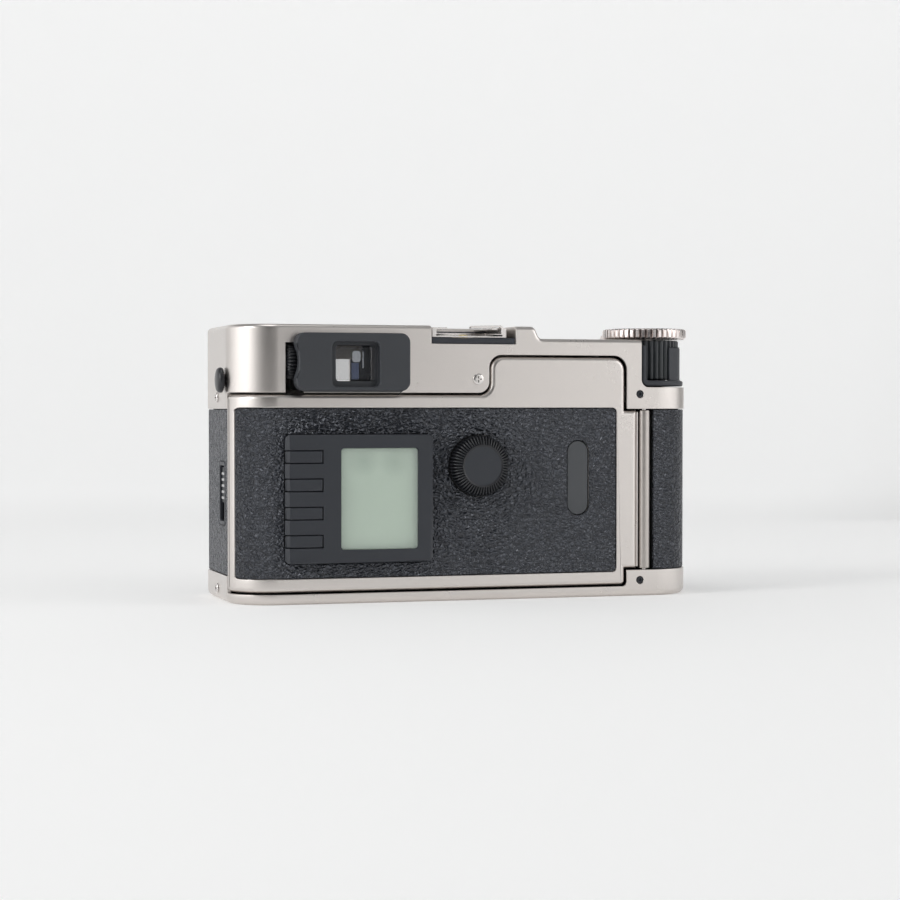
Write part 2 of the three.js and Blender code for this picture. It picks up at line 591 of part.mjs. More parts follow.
// ---- Back door ----

function doorShell() {
  const panel = wall(0, DOOR_THICK, 0, HEIGHT).intersect(prismY(doorOutline(0), -5, DOOR_WRAP));
  const recess = cut(
    prismY(rectangle(-64.55, 6.9, 41.65, 52.3, 1.2), -5, LEATHER_WRAP),
    prismZ(plan(1), -BIG, BIG),
  );
  const web = box(EAR.right - 0.5, HINGE.x - HINGE.radius - FIT, 0.95, DOOR_THICK, EAR.low + 0.4, EAR.high - 0.4);
  return cut(
    union(cut(panel, recess), web),
    prismY(bezelOutline(0.2), -5, 10),
    prismY(circle(BACK_DIAL.x, BACK_DIAL.z, 1.9), -5, 10),
    prismY(filmWindowOutline(0.2), -5, 10),
  );
}

function doorLeather() {
  const skin = wall(0.12, 0.75, 0, HEIGHT).intersect(
    prismY(rectangle(-64.4, 7.05, 41.5, 52.15, 1.05), -5, LEATHER_WRAP - 0.15),
  );
  return cut(
    skin,
    prismY(bezelOutline(0.15), -5, 10),
    prismY(circle(BACK_DIAL.x, BACK_DIAL.z, BACK_DIAL.radius + 0.3), -5, 10),
    prismY(filmWindowOutline(0.15), -5, 10),
  );
}

function bezel() {
  const { low, high, back, front } = BEZEL;
  const middle = (low + high) / 2;
  // The left edge slopes back over the ends of the buttons.
  const slope = prismZ(outline([[-60, -0.1], [BEZEL.left, -0.1], [BEZEL.left + 1.1, back], [-50, -5], [-60, -5]]), 0, 60);
  const slots = BUTTON.z.map((z) =>
    box(BEZEL.left - 1, BUTTON.right + 0.2, -5, 1.1, z - BUTTON.height / 2 - 0.2, z + BUTTON.height / 2 + 0.2),
  );
  return cut(
    prismY(bezelOutline(0), back, front),
    slope,
    prismY(rectangle(LCD.left, LCD.low, LCD.right, LCD.high, 0.8), -5, 0),
    box(LCD.left - 1.2, LCD.right + 1.2, 0, 5, LCD.low - 1.2, LCD.high + 1.2),
    ...slots,
    box(BUTTON.right + 2, BUTTON.right + 3, 1.2, 5, middle - 12, middle + 12),
  );
}

function lcdButton(z) {
  const { left, right, height } = BUTTON;
  const key = outline([[left + 1.1, BEZEL.back], [right, BEZEL.back], [right, 0.5], [left + 0.2, 0.5], [left + 0.2, -0.15], [left + 0.05, -0.15]]);
  return prismZ(key, z - height / 2, z + height / 2);
}

function backDial() {
  const { radius, face, teeth } = BACK_DIAL;
  const grip = prismZ(toothed(teeth, radius, radius - 0.4), -0.3, 3.2);
  const hub = solid(new THREE.CylinderGeometry(face, radius - 0.4, 1, 36).rotateX(Math.PI / 2).translate(0, 0, 3.7));
  return union(grip, hub, prismZ(circle(0, 0, 1.5), -2.1, 0));
}

add("door_shell", doorShell(), CHAMPAGNE);
add("door_leather", doorLeather(), LEATHER);
add("hinge_barrel", tube(HINGE.bore, HINGE.radius, 7.65, 51.65, 24), CHAMPAGNE, { at: [HINGE.x, HINGE.y, 0], turn: UPRIGHT });
add("hinge_pin", turned([[0, 1.6], [HINGE.pin, 1.6], [HINGE.pin, 57.6], [0, 57.6]], 12), STEEL, { at: [HINGE.x, HINGE.y, 0], turn: UPRIGHT });
add("lcd_bezel", bezel(), BLACK_PLASTIC);
add("lcd_window", prismY(rectangle(LCD.left + 0.1, LCD.low + 0.1, LCD.right - 0.1, LCD.high - 0.1, 0.7), -1.0, -0.3), CLEAR);
add("lcd_panel", box(LCD.left - 1, LCD.right + 1, 0.2, 1.6, LCD.low - 1, LCD.high + 1), LCD_GREEN);
BUTTON.z.forEach((z, i) => add(`lcd_button_${i + 1}`, lcdButton(z), BLACK_PLASTIC));
add("back_dial", backDial(), BLACK_PLASTIC, { at: [BACK_DIAL.x, 0, BACK_DIAL.z], turn: UPRIGHT });
add("film_window", prismY(filmWindowOutline(0), 0.6, 3.4), SMOKED);
const innerPlate = cut(
  box(-54, 42.5, 2.5, 3.5, 4.8, 54.6),
  prismY(filmWindowOutline(0.2), -5, 10),
);
add("door_inner_plate", innerPlate, DARK_FRAME);
add("pressure_plate", box(LENS.x - 23, LENS.x + 20, 4.3, 5.3, LENS.z - 17, LENS.z + 17), DARK_FRAME);

// ---- The object's own frame: the middle of its box, on the ground ----
const frontMost = INNER_BARREL.front;
const backMost = BACK_DIAL.back;
const assembly = new THREE.Group();
camera.position.set(0, -(frontMost + backMost) / 2, 0);
assembly.add(camera);

export default assembly;
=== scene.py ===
import math

import bmesh
import bpy
from mathutils import Matrix, Vector


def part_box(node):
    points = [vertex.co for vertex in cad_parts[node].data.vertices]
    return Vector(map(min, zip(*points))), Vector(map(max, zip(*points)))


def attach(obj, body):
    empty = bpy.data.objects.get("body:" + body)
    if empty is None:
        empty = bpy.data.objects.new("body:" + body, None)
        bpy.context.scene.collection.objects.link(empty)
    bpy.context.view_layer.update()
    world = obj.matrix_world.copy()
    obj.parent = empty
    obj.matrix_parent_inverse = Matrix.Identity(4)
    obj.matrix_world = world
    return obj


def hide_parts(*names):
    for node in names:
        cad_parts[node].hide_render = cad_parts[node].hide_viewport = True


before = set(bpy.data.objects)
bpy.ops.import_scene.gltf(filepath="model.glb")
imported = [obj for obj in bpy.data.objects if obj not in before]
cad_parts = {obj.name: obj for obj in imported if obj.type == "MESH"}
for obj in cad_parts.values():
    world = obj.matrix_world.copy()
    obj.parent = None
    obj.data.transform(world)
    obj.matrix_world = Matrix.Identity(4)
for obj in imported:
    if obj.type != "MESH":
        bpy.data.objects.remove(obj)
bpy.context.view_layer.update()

# ---- The table, the light and the eye ----
# The camera stands on a pale table that sweeps up all round into a pale wall, under soft light
# from the left. The eye is behind it, a little to its left, at about two thirds of its height.
# The wall glows brightest at the left, as painted light, and is painted dark behind the eye, as painted
# shade.
MM = 0.001
TABLE_RADIUS = 1.1
SWEEP_RADIUS = 0.7
SWEEP_STEPS = 12
WALL_TOP = 1.3
PAPER_GLOW = 1.2
GLOW_UNDER_CAMERA = 0.2
LAMPS_AIM = Vector((0, 0, 0.04))
FULL_TURN = 2 * math.pi
EYE_FROM_BACK = Vector((-0.17677, -0.55667, 0.05224))  # from the middle of the back's lower edge
EYE_YAW = math.radians(17)
EYE_DIP = math.radians(1.117)
EYE_LENS = 86.2


def spun(profile, steps, closed=False):
    """A shape turned about +Z from (radius, height) points that start and end on the axis or close."""
    bm = bmesh.new()
    points = [bm.verts.new((radius, 0, height)) for radius, height in profile]
    edges = [bm.edges.new(pair) for pair in zip(points, points[1:])]
    if closed:
        edges.append(bm.edges.new((points[-1], points[0])))
    ring = {"cent": (0, 0, 0), "axis": (0, 0, 1), "angle": FULL_TURN}
    bmesh.ops.spin(bm, geom=points + edges, steps=steps, use_merge=True, **ring)
    bmesh.ops.remove_doubles(bm, verts=bm.verts, dist=1e-6)
    bmesh.ops.recalc_face_normals(bm, faces=bm.faces)
    return bm


class Value:
    """A socket inside a material, so that a sum on it adds the Math nodes for that sum."""

    def __init__(self, paint, socket):
        self.paint = paint
        self.socket = socket

    def __add__(self, other):
        return self.paint.maths("ADD", self, other)

    def __sub__(self, other):
        return self.paint.maths("SUBTRACT", self, other)

    def __rsub__(self, other):
        return self.paint.maths("SUBTRACT", other, self)

    def __mul__(self, other):
        return self.paint.maths("MULTIPLY", self, other)

    __radd__ = __add__
    __rmul__ = __mul__


class Paint:
    """A material with its Principled shader, built up node by node."""

    def __init__(self, name):
        self.material = bpy.data.materials.new(name)
        self.material.use_nodes = True
        self.tree = self.material.node_tree
        self.shader = self.tree.nodes["Principled BSDF"]
        self.place = self.node("ShaderNodeTexCoord", output="Object")

    def node(self, kind, settings=None, inputs=None, output=0):
        made = self.tree.nodes.new(kind)
        for name, value in (settings or {}).items():
            if name == "stops":
                ramp = made.color_ramp.elements
                while len(ramp) < len(value):
                    ramp.new(0.5)
                for stop, (position, shade) in zip(ramp, value):
                    stop.position = position
                    stop.color = (*shade, 1) if isinstance(shade, tuple) else (shade, shade, shade, 1)
            else:
                setattr(made, name, value)
        self.feed(made, inputs or {})
        return Value(self, made.outputs[output])

    def feed(self, node, inputs):
        for name, value in inputs.items():
            if isinstance(value, Value):
                self.tree.links.new(value.socket, node.inputs[name])
            else:
                node.inputs[name].default_value = value

    def noise(self, size, detail=2.0, vector=None):
        """Soft noise from 0 to 1 whose blotches are about size across, in metres."""
        inputs = {"Vector": vector or self.place, "Scale": 1 / size, "Detail": detail}
        return self.node("ShaderNodeTexNoise", None, inputs)

    def maths(self, operation, first, second):
        return self.node("ShaderNodeMath", {"operation": operation}, {0: first, 1: second})

    def mixed(self, share, first, second):
        """A colour that goes from first to second as share goes from 0 to 1."""
        inputs = {"Factor": share, 6: first, 7: second}
        return self.node("ShaderNodeMix", {"data_type": "RGBA"}, inputs, output=2)

    def between(self, share, first, second):
        return self.mixed(share, (*first, 1), (*second, 1))

    def ramp(self, share, *stops):
        return self.node("ShaderNodeValToRGB", {"stops": stops}, {"Fac": share})

    def relief(self, height, depth, strength=1.0):
        inputs = {"Height": height, "Distance": depth, "Strength": strength}
        return self.node("ShaderNodeBump", None, inputs)

    def finish(self, **sockets):
        self.feed(self.shader, {name.replace("_", " "): value for name, value in sockets.items()})
        return self.material


def paper():
    """Pale paper, which away from the camera glows and darkens by bearing: painted light brightest at the
    left, painted shade behind the eye.
    """
    paint = Paint("pale_table")
    fibre = paint.noise(0.0015)
    across = paint.node("ShaderNodeSeparateXYZ", None, {"Vector": paint.place})
    ahead = paint.node("ShaderNodeSeparateXYZ", None, {"Vector": paint.place}, output=1)
    bearing = paint.maths("ARCTAN2", across, ahead) * (1 / FULL_TURN) + 0.5
    # Painted shade: the paper's colour goes dark behind the eye, for the metal to reflect.
    painted_shade_at = [(0, 0), (0.08, 0), (0.14, 0.85), (0.4, 0.85), (0.46, 1)]
    painted_shade_at += [(0.6, 1), (0.7, 0.4), (0.77, 1), (0.95, 1), (0.975, 0.2)]
    shade = paint.ramp(bearing, *painted_shade_at)
    # Painted light: the paper glows by bearing, brightest at the left, as a window there would light it.
    painted_light_at = [(0, 0), (0.08, 0), (0.135, 0.2), (0.18, 0.9), (0.27, 0.9), (0.31, 0.6), (0.36, 0.28)]
    painted_light_at += [(0.41, 0.16), (0.46, 0.27), (0.59, 0.27), (0.7, 0), (0.77, 0.5), (0.88, 0.5)]
    painted_light_at += [(0.935, 0.47), (0.958, 0.33), (0.972, 0)]
    light = paint.ramp(bearing, *painted_light_at)
    distance = paint.node("ShaderNodeVectorMath", {"operation": "LENGTH"}, {0: paint.place}, output=1)
    near = paint.ramp(distance, (0.42, 1.0), (0.75, 0.0))
    light = light * (1 - near) + GLOW_UNDER_CAMERA * near
    sheet = paint.between(fibre, (0.845, 0.842, 0.835), (0.86, 0.857, 0.85))
    colour = paint.mixed(paint.maths("MAXIMUM", shade, near), (0.15, 0.15, 0.15, 1), sheet)
    glow = paint.between(light, (0, 0, 0), (0.98, 0.985, 0.99))
    lit = {"Emission_Color": glow, "Emission_Strength": PAPER_GLOW}
    return paint.finish(Base_Color=colour, Roughness=0.9, Specular_IOR_Level=0.1, **lit)


def table():
    sweep = [(0, 0), (TABLE_RADIUS, 0)]
    for step in range(1, SWEEP_STEPS + 1):
        angle = math.radians(90) * step / SWEEP_STEPS
        sweep.append((TABLE_RADIUS + SWEEP_RADIUS * math.sin(angle), SWEEP_RADIUS * (1 - math.cos(angle))))
    sweep.append((TABLE_RADIUS + SWEEP_RADIUS, WALL_TOP))
    bm = spun(sweep, 96)
    mesh = bpy.data.meshes.new("table")
    bm.to_mesh(mesh)
    bm.free()
    mesh.shade_smooth()
    mesh.materials.append(paper())
    sheet = bpy.data.objects.new("table", mesh)
    bpy.context.scene.collection.objects.link(sheet)


def lamp(name, power, size, place):
    light = bpy.data.lights.new(name, "AREA")
    light.shape = "RECTANGLE"
    light.size, light.size_y = size
    light.energy = power
    box = bpy.data.objects.new(name, light)
    box.location = place
    box.rotation_mode = "QUATERNION"
    box.rotation_quaternion = (LAMPS_AIM - Vector(place)).to_track_quat("-Z", "Y")
    bpy.context.scene.collection.objects.link(box)


table()
lamp("window_light", 3, (0.35, 0.6), (-1.0, -0.3, 0.6))
lamp("overhead_light", 2, (0.5, 0.5), (-0.1, -0.15, 1.25))
lamp("room_light", 1, (0.3, 0.6), (0.95, -0.5, 0.5))
world = bpy.data.worlds.new("soft_room")
world.use_nodes = True
sky = world.node_tree.nodes["Background"]
sky.inputs["Color"].default_value = (0.97, 0.985, 1, 1)
sky.inputs["Strength"].default_value = 0.3
bpy.context.scene.world = world
bpy.context.scene.view_settings.view_transform = "Standard"

eye = bpy.data.objects.new("eye", bpy.data.cameras.new("eye"))
eye.data.lens = EYE_LENS
eye.data.sensor_width = 36
eye.data.clip_start = 0.01
eye.location = Vector((0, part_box("top_cover")[0].y, 0)) + EYE_FROM_BACK
eye.rotation_euler = (math.radians(90) - EYE_DIP, 0, -EYE_YAW)
bpy.context.scene.collection.objects.link(eye)
bpy.context.scene.camera = eye

# ---- Top cover ----
# The top cover is pressed from titanium sheet, bead blasted and coated in a warm champagne grey.
# Its top edge is rounded, and its lower edge and cut-outs are only broken. Screws hold it.
TOP_EDGE = 1.3
SEAM_EDGE = 0.16
SMOOTH_BELOW = math.radians(48)
EDGE_ABOVE = math.radians(29)
FLAT_WITHIN = math.radians(0.6)
MERGED_WITHIN = 0.004 * MM
TOUCHING = 0.1 * MM
DECK_BELOW_SHOE = 3.3 * MM
CORNER = 12 * MM
FRONT_CORNER = 3 * MM


def shape_of(node):
    """A merged copy of a CAD node, with each flat face made whole."""
    bm = bmesh.new()
    bm.from_mesh(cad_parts[node].data)
    bmesh.ops.remove_doubles(bm, verts=bm.verts, dist=MERGED_WITHIN)
    bmesh.ops.dissolve_limit(bm, angle_limit=FLAT_WITHIN, verts=bm.verts, edges=bm.edges)
    return bm


def rounded(bm, width, segments, chosen=lambda middle, edge: True):
    """Rounds the sharp edges that are chosen, by a width in millimetres."""
    sharp = []
    for edge in bm.edges:
        if len(edge.link_faces) == 2 and edge.calc_face_angle() > EDGE_ABOVE:
            if chosen((edge.verts[0].co + edge.verts[1].co) / 2, edge):
                sharp.append(edge)
    settings = {"affect": "EDGES", "segments": segments, "profile": 0.5, "material": -1}
    bmesh.ops.bevel(bm, geom=sharp, offset=width * MM, offset_type="OFFSET", **settings)
    return bm


def piece(name, bm, material, body, slot, *nodes):
    """The finished piece, which rides on a body and stands in for the nodes that it replaces."""
    mesh = bpy.data.meshes.new(name)
    bm.to_mesh(mesh)
    bm.free()
    mesh.materials.append(material)
    mesh.shade_smooth()
    mesh.set_sharp_from_angle(angle=SMOOTH_BELOW)
    made = bpy.data.objects.new(name, mesh)
    bpy.context.scene.collection.objects.link(made)
    made.modifiers.new("even_shading", "WEIGHTED_NORMAL").keep_sharp = True
    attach(made, body)
    if nodes:
        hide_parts(*nodes)
    return made


def satin_metal(name, colour, roughness, grain_depth):
    """Bead-blasted and coated metal: a fine even grain with faint clouds and worn spots."""
    paint = Paint(name)
    grain = paint.noise(0.14 * MM, 1.0)
    cloud = paint.noise(9 * MM, 3.0)
    speck = paint.noise(0.5 * MM, 2.0)
    dark = tuple(0.9 * part for part in colour)
    tint = paint.between(0.3 * cloud + 0.35 * grain + 0.35 * speck, dark, colour)
    gloss = roughness + 0.07 * cloud + 0.06 * speck - 0.07
    normal = paint.relief(grain, grain_depth * MM, 0.5)
    return paint.finish(Base_Color=tint, Metallic=1.0, Roughness=gloss, Normal=normal)


cover_low, cover_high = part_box("top_cover")
deck = cover_high.z - DECK_BELOW_SHOE
champagne = satin_metal("champagne_metal", (0.74, 0.695, 0.662), 0.3, 0.03)


def inset(point):
    """How far a point lies inside the body's outline, seen from above."""
    x = cover_high.x - abs(point.x)
    for y, radius in ((point.y - cover_low.y, CORNER), (cover_high.y - point.y, FRONT_CORNER)):
        if x < radius and y < radius:
            return radius - math.hypot(radius - x, radius - y)
    return min(x, point.y - cover_low.y, cover_high.y - point.y)


def rim(edge, direction):
    """Whether an edge joins a face that looks up or down to one that looks sideways."""
    flat = any(face.normal.z * direction > 0.3 for face in edge.link_faces)
    upright = any(abs(face.normal.z) < 0.1 for face in edge.link_faces)
    return flat and upright


def on_top_rim(middle, edge):
    return middle.z > deck - TOUCHING and inset(middle) < TOUCHING and rim(edge, 1)


top_cover = shape_of("top_cover")
rounded(top_cover, TOP_EDGE, 4, on_top_rim)
rounded(top_cover, SEAM_EDGE, 2)
piece("top_cover_metal", top_cover, champagne, "camera_body", "champagne_metal", "top_cover")

# ---- Bottom cover ----
# The bottom cover is a tray of the same coated titanium. Its lower edge is rounded all round, and
# it has holes for the tripod socket and the battery's cap.
BASE_EDGE = 1.8


def on_base_rim(middle, edge):
    return middle.z < TOUCHING and inset(middle) < TOUCHING and rim(edge, -1)


bottom_cover = shape_of("bottom_cover")
rounded(bottom_cover, BASE_EDGE, 4, on_base_rim)
rounded(bottom_cover, SEAM_EDGE, 2)
piece("bottom_cover_metal", bottom_cover, champagne, "camera_body", "champagne_metal", "bottom_cover")

# ---- Door ----
# The door is one pressing in the same metal, with softly rounded edges and a shallow recess for
# its leatherette. Its ear is fixed to a barrel that turns on a steel pin.
DOOR_EDGE = 1.4
RECESS_EDGE = 0.2
leather_low, leather_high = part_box("door_leather")


def on_door_rim(middle, edge):
    beyond = max(leather_low.z - middle.z, middle.z - leather_high.z, middle.x - leather_high.x)
    on_skin = inset(middle) < TOUCHING
    return on_skin and (beyond > 0.6 * MM or middle.y > leather_high.y + 1.5 * MM)


door_shell = shape_of("door_shell")
rounded(door_shell, DOOR_EDGE, 4, on_door_rim)
rounded(door_shell, RECESS_EDGE, 2)
piece("door_metal", door_shell, champagne, "door", "champagne_metal", "door_shell")


def centre_of(node):
    low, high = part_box(node)
    return (low + high) / 2


def foot_of(node):
    """The middle of a node's lowest face, which an upright turned piece stands on."""
    return Vector((*centre_of(node).xy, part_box(node)[0].z))


def set_in_place(bm, where, turn=Matrix()):
    """Moves a shape that was made in millimetres about the origin to its place in the camera."""
    matrix = Matrix.Translation(where) @ turn.to_4x4() @ Matrix.Scale(MM, 4)
    bmesh.ops.transform(bm, matrix=matrix, verts=bm.verts)
    return bm


barrel_low, barrel_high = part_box("hinge_barrel")
barrel_radius = (barrel_high.x - barrel_low.x) / 2 / MM
barrel_length = (barrel_high.z - barrel_low.z) / MM
BARREL_BORE = 0.95
BARREL_CHAMFER = 0.25
barrel_section = [
    (BARREL_BORE, 0),
    (barrel_radius - BARREL_CHAMFER, 0),
    (barrel_radius, BARREL_CHAMFER),
    (barrel_radius, barrel_length - BARREL_CHAMFER),
    (barrel_radius - BARREL_CHAMFER, barrel_length),
    (BARREL_BORE, barrel_length),
]
barrel = set_in_place(spun(barrel_section, 48, closed=True), foot_of("hinge_barrel"))
# Painted shade: the barrel's coating is a darker copy of the champagne metal, for the barrel between the
# covers.
shaded_barrel_finish = satin_metal("shaded_barrel_metal", (0.56, 0.52, 0.49), 0.34, 0.02)
piece("hinge_barrel_metal", barrel, shaded_barrel_finish, "door", "champagne_metal", "hinge_barrel")

steel = satin_metal("bright_steel", (0.8, 0.765, 0.74), 0.2, 0.004)
pin_low, pin_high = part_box("hinge_pin")
pin_length = (pin_high.z - pin_low.z) / MM
pin_section = [(0, 0), (0.55, 0), (0.7, 0.2), (0.7, pin_length - 0.2), (0.55, pin_length), (0, pin_length)]
pin = set_in_place(spun(pin_section, 24), foot_of("hinge_pin"))
piece("hinge_pin_steel", pin, steel, "camera_body", "steel", "hinge_pin")

# ---- Leatherette ----
# The body and the door are covered in a soft black synthetic leather, glued on, with a coarse
# pebbled grain whose creases run together into short slanting folds.
PEBBLE = 1.1 * MM
SLANT = math.radians(38)


def leatherette():
    paint = Paint("pebbled_leatherette")
    waves = {"Vector": paint.place, "Scale": 0.9 / PEBBLE, "Detail": 0.0}
    warp = paint.node("ShaderNodeTexNoise", None, waves, output=1)
    pushed = {0: warp, 1: (0.8 * MM,) * 3, 2: paint.place}
    bent = paint.node("ShaderNodeVectorMath", {"operation": "MULTIPLY_ADD"}, pushed)
    turned = {"Vector": bent, "Rotation": (0, SLANT, 0), "Scale": (0.8, 1, 1.15)}
    slanted = paint.node("ShaderNodeMapping", None, turned)
    cells = {"Vector": slanted, "Scale": 1 / PEBBLE}
    edge = paint.node("ShaderNodeTexVoronoi", {"feature": "DISTANCE_TO_EDGE"}, cells)
    dome = paint.ramp(edge, (0.0, 0.0), (0.12, 0.5), (0.28, 0.9), (0.42, 1.0))
    folds = paint.noise(1.3 * PEBBLE, 0.0, slanted)
    height = 0.8 * dome + 1.7 * folds
    crest = paint.ramp(height, (0.95, 0.0), (1.0, 1.0))
    wear = paint.noise(18 * MM, 3.0)
    # Painted shade: the creases are painted near black; the crests keep the leather's own black.
    colour = paint.between(crest, (0.0015, 0.0018, 0.0025), (0.017, 0.02, 0.027))
    gloss = 0.42 - 0.12 * crest + 0.06 * wear
    sheen = {"Specular_IOR_Level": 0.9, "IOR": 1.6, "Specular_Tint": (0.88, 0.91, 1, 1)}
    normal = paint.relief(height, 1.2 * MM, 1.0)
    return paint.finish(Base_Color=colour, Roughness=gloss, Normal=normal, **sheen)


leather = leatherette()
for node, body in (("body_leather", "camera_body"), ("door_leather", "door")):
    skin = rounded(shape_of(node), 0.22, 2)
    piece(node + "_skin", skin, leather, body, "leatherette", node)

# ---- Display and its keys ----
# The display sits in a black moulded bezel on the door. A grey-green liquid crystal panel lies
# under a clear window, and four long keys reach over the bezel's sloping left edge.
BEZEL_EDGE = 0.6
KEYS_FROM = -52.5 * MM
KEYS_TO = -41 * MM
LONG_EDGE = 4 * MM
BARELY = 0.05 * MM
SMUDGE_SHARPNESS = 220


def moulded_plastic(name, colour, roughness):
    """Spark-eroded black plastic, a little greasier in patches."""
    paint = Paint(name)
    texture = paint.noise(0.11 * MM, 2.0)
    handling = paint.noise(14 * MM, 4.0)
    dust = paint.ramp(paint.noise(0.9 * MM, 5.0), (0.66, 0.0), (0.72, 1.0))
    worn = tuple(1.25 * part for part in colour)
    pale = paint.between(dust * 0.12, colour, (0.14, 0.14, 0.145))
    tint = paint.mixed(handling, pale, (*worn, 1))
    gloss = roughness + 0.1 * handling - 0.05 + 0.05 * texture
    normal = paint.relief(texture, 0.012 * MM, 0.6)
    return paint.finish(Base_Color=tint, Roughness=gloss, Specular_IOR_Level=0.5, Normal=normal)


black = moulded_plastic("black_moulding", (0.022, 0.025, 0.032), 0.42)
bezel_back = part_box("lcd_bezel")[0].y


def on_bezel_rim(middle, edge):
    """Whether an edge is a long one of the bezel's face, and isn't beside the keys."""
    beside_keys = KEYS_FROM < middle.x < KEYS_TO
    return middle.y < bezel_back + BARELY and edge.calc_length() > LONG_EDGE and not beside_keys


bezel = rounded(shape_of("lcd_bezel"), BEZEL_EDGE, 3, on_bezel_rim)
rounded(bezel, 0.1, 2)
piece("lcd_bezel_moulding", bezel, black, "door", "black_plastic", "lcd_bezel")
for number in range(1, 5):
    node = f"lcd_button_{number}"
    key = rounded(shape_of(node), 0.3, 3)
    piece(f"lcd_key_{number}", key, black, node + "_body", "black_plastic", node)


def clear_pane(name, tint, alpha, roughness):
    """Clear material that is mostly gloss, with a faint haze of handling."""
    paint = Paint(name)
    haze = paint.noise(6 * MM, 4.0)
    tones = paint.between(haze, tint, tuple(0.85 * part for part in tint))
    gloss = roughness + 0.03 * haze
    cover = alpha + 0.03 * haze
    coat = {"IOR": 1.5, "Coat_Weight": 0.6, "Coat_Roughness": 0.03}
    return paint.finish(Base_Color=tones, Roughness=gloss, Alpha=cover, **coat)


def liquid_crystal():
    """The panel's reflector: an even grey-green grain, a little darker where segments have faded."""
    paint = Paint("liquid_crystal")
    grain = paint.noise(0.25 * MM, 2.0)
    low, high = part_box("lcd_panel")
    spot = {"Location": (-(low.x + 7.6 * MM), 0, -(high.z - 4.6 * MM)), "Scale": (1, 0, 1)}
    spot_place = paint.node("ShaderNodeMapping", None, {"Vector": paint.place, **spot})
    blotch = paint.node("ShaderNodeVectorMath", {"operation": "LENGTH"}, {0: spot_place}, output=1)
    shade = paint.ramp(blotch * SMUDGE_SHARPNESS, (0.0, 1.0), (1.0, 0.0))
    beside = {"Vector": spot_place, "Location": (-8.3 * MM, 0, 0.4 * MM)}
    far = paint.node("ShaderNodeMapping", None, beside)
    second = paint.node("ShaderNodeVectorMath", {"operation": "LENGTH"}, {0: far}, output=1)
    other = paint.ramp(second * SMUDGE_SHARPNESS, (0.0, 1.0), (1.0, 0.0))
    base = paint.between(grain, (0.535, 0.65, 0.515), (0.565, 0.68, 0.545))
    colour = paint.mixed(0.4 * shade + 0.35 * other, base, (0.2, 0.27, 0.2, 1))
    return paint.finish(Base_Color=colour, Roughness=0.42 + 0.05 * grain, Specular_IOR_Level=0.4)


panel = rounded(shape_of("lcd_panel"), 0.1, 1)
piece("lcd_reflector", panel, liquid_crystal(), "door", "lcd_grey_green", "lcd_panel")
pane = rounded(shape_of("lcd_window"), 0.08, 1)
clear = clear_pane("clear_window", (0.75, 0.8, 0.84), 0.1, 0.05)
piece("lcd_pane", pane, clear, "door", "clear_window", "lcd_window")

# ---- Back dial ----
# A moulded black wheel on the door, with serrations cut down its sloping edge and a duller disc
# inlaid in its flat face. A dead black ring under it is a painted shadow in the gap round its edge.
DIAL_TEETH = 56
STEPS_TO_A_TOOTH = 8
DIAL_FACE = 4.2


def fluted(bm, teeth, depth, land, cut=lambda radius, height: 1.0):
    """Sinks grooves into a turned shape. The land is the share of a tooth that stays at full size."""
    for vert in bm.verts:
        radius = vert.co.xy.length
        if radius < 1e-6:
            continue
        turn = math.atan2(vert.co.y, vert.co.x) / FULL_TURN * teeth % 1
        into = max(0.0, (abs(turn - 0.5) * 2 - land) / (1 - land))
        sink = depth * (3 * into**2 - 2 * into**3) * cut(radius, vert.co.z)
        vert.co.xy *= (radius - sink) / radius
    return bm


FACING_BACK = Matrix.Rotation(math.radians(90), 3, "X")
dial_section = [(0, -2.1), (1.5, -2.1), (1.5, -0.3), (7.8, -0.3), (8.2, 0.05), (8.2, 2.0), (8.1, 2.5)]
dial_section += [(7.6, 3.1), (6.9, 3.6), (6.1, 4.0), (5.7, 4.17), (5.5, DIAL_FACE), (5.4, 4.12)]
dial_section += [(3, 4.1), (0, 4.1)]
glossy = moulded_plastic("handled_moulding", (0.013, 0.014, 0.017), 0.3)
dial = spun(dial_section, DIAL_TEETH * STEPS_TO_A_TOOTH)
fluted(dial, DIAL_TEETH, 0.9, 0.3, lambda radius, height: float(radius > 5.9 and height > 0))
back_dial_middle = centre_of("back_dial")
back_dial_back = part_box("back_dial")[0].y
back_dial_seat = Vector((back_dial_middle.x, back_dial_back + DIAL_FACE * MM, back_dial_middle.z))
set_in_place(dial, back_dial_seat, FACING_BACK)
piece("back_dial_wheel", dial, glossy, "back_dial_body", "black_plastic", "back_dial")
inlay_section = [(0, 4.02), (5.2, 4.02), (5.2, 4.12), (0, 4.12)]
inlay = set_in_place(spun(inlay_section, 64), back_dial_seat, FACING_BACK)
piece("back_dial_inlay", inlay, black, "back_dial_body", "black_plastic")


def dead_black():
    """Flat black, as matt paint and matt mouldings have it where no light may come back."""
    paint = Paint("dead_black")
    tooth = paint.noise(0.3 * MM, 3.0)
    colour = paint.between(tooth, (0.009, 0.009, 0.01), (0.018, 0.018, 0.02))
    normal = paint.relief(tooth, 0.02 * MM, 0.5)
    return paint.finish(Base_Color=colour, Roughness=0.75 + 0.1 * tooth, Normal=normal)


inside_black = dead_black()
# Painted shadow: a dead black ring under the dial fills the gap round its edge.
shadow_ring_section = [(2.2, -0.95), (8.45, -0.95), (8.45, -0.7), (2.2, -0.7)]
dial_shadow_ring = set_in_place(spun(shadow_ring_section, 64, closed=True), back_dial_seat, FACING_BACK)
piece("back_dial_shadow_ring", dial_shadow_ring, inside_black, "door", "dark_frame")

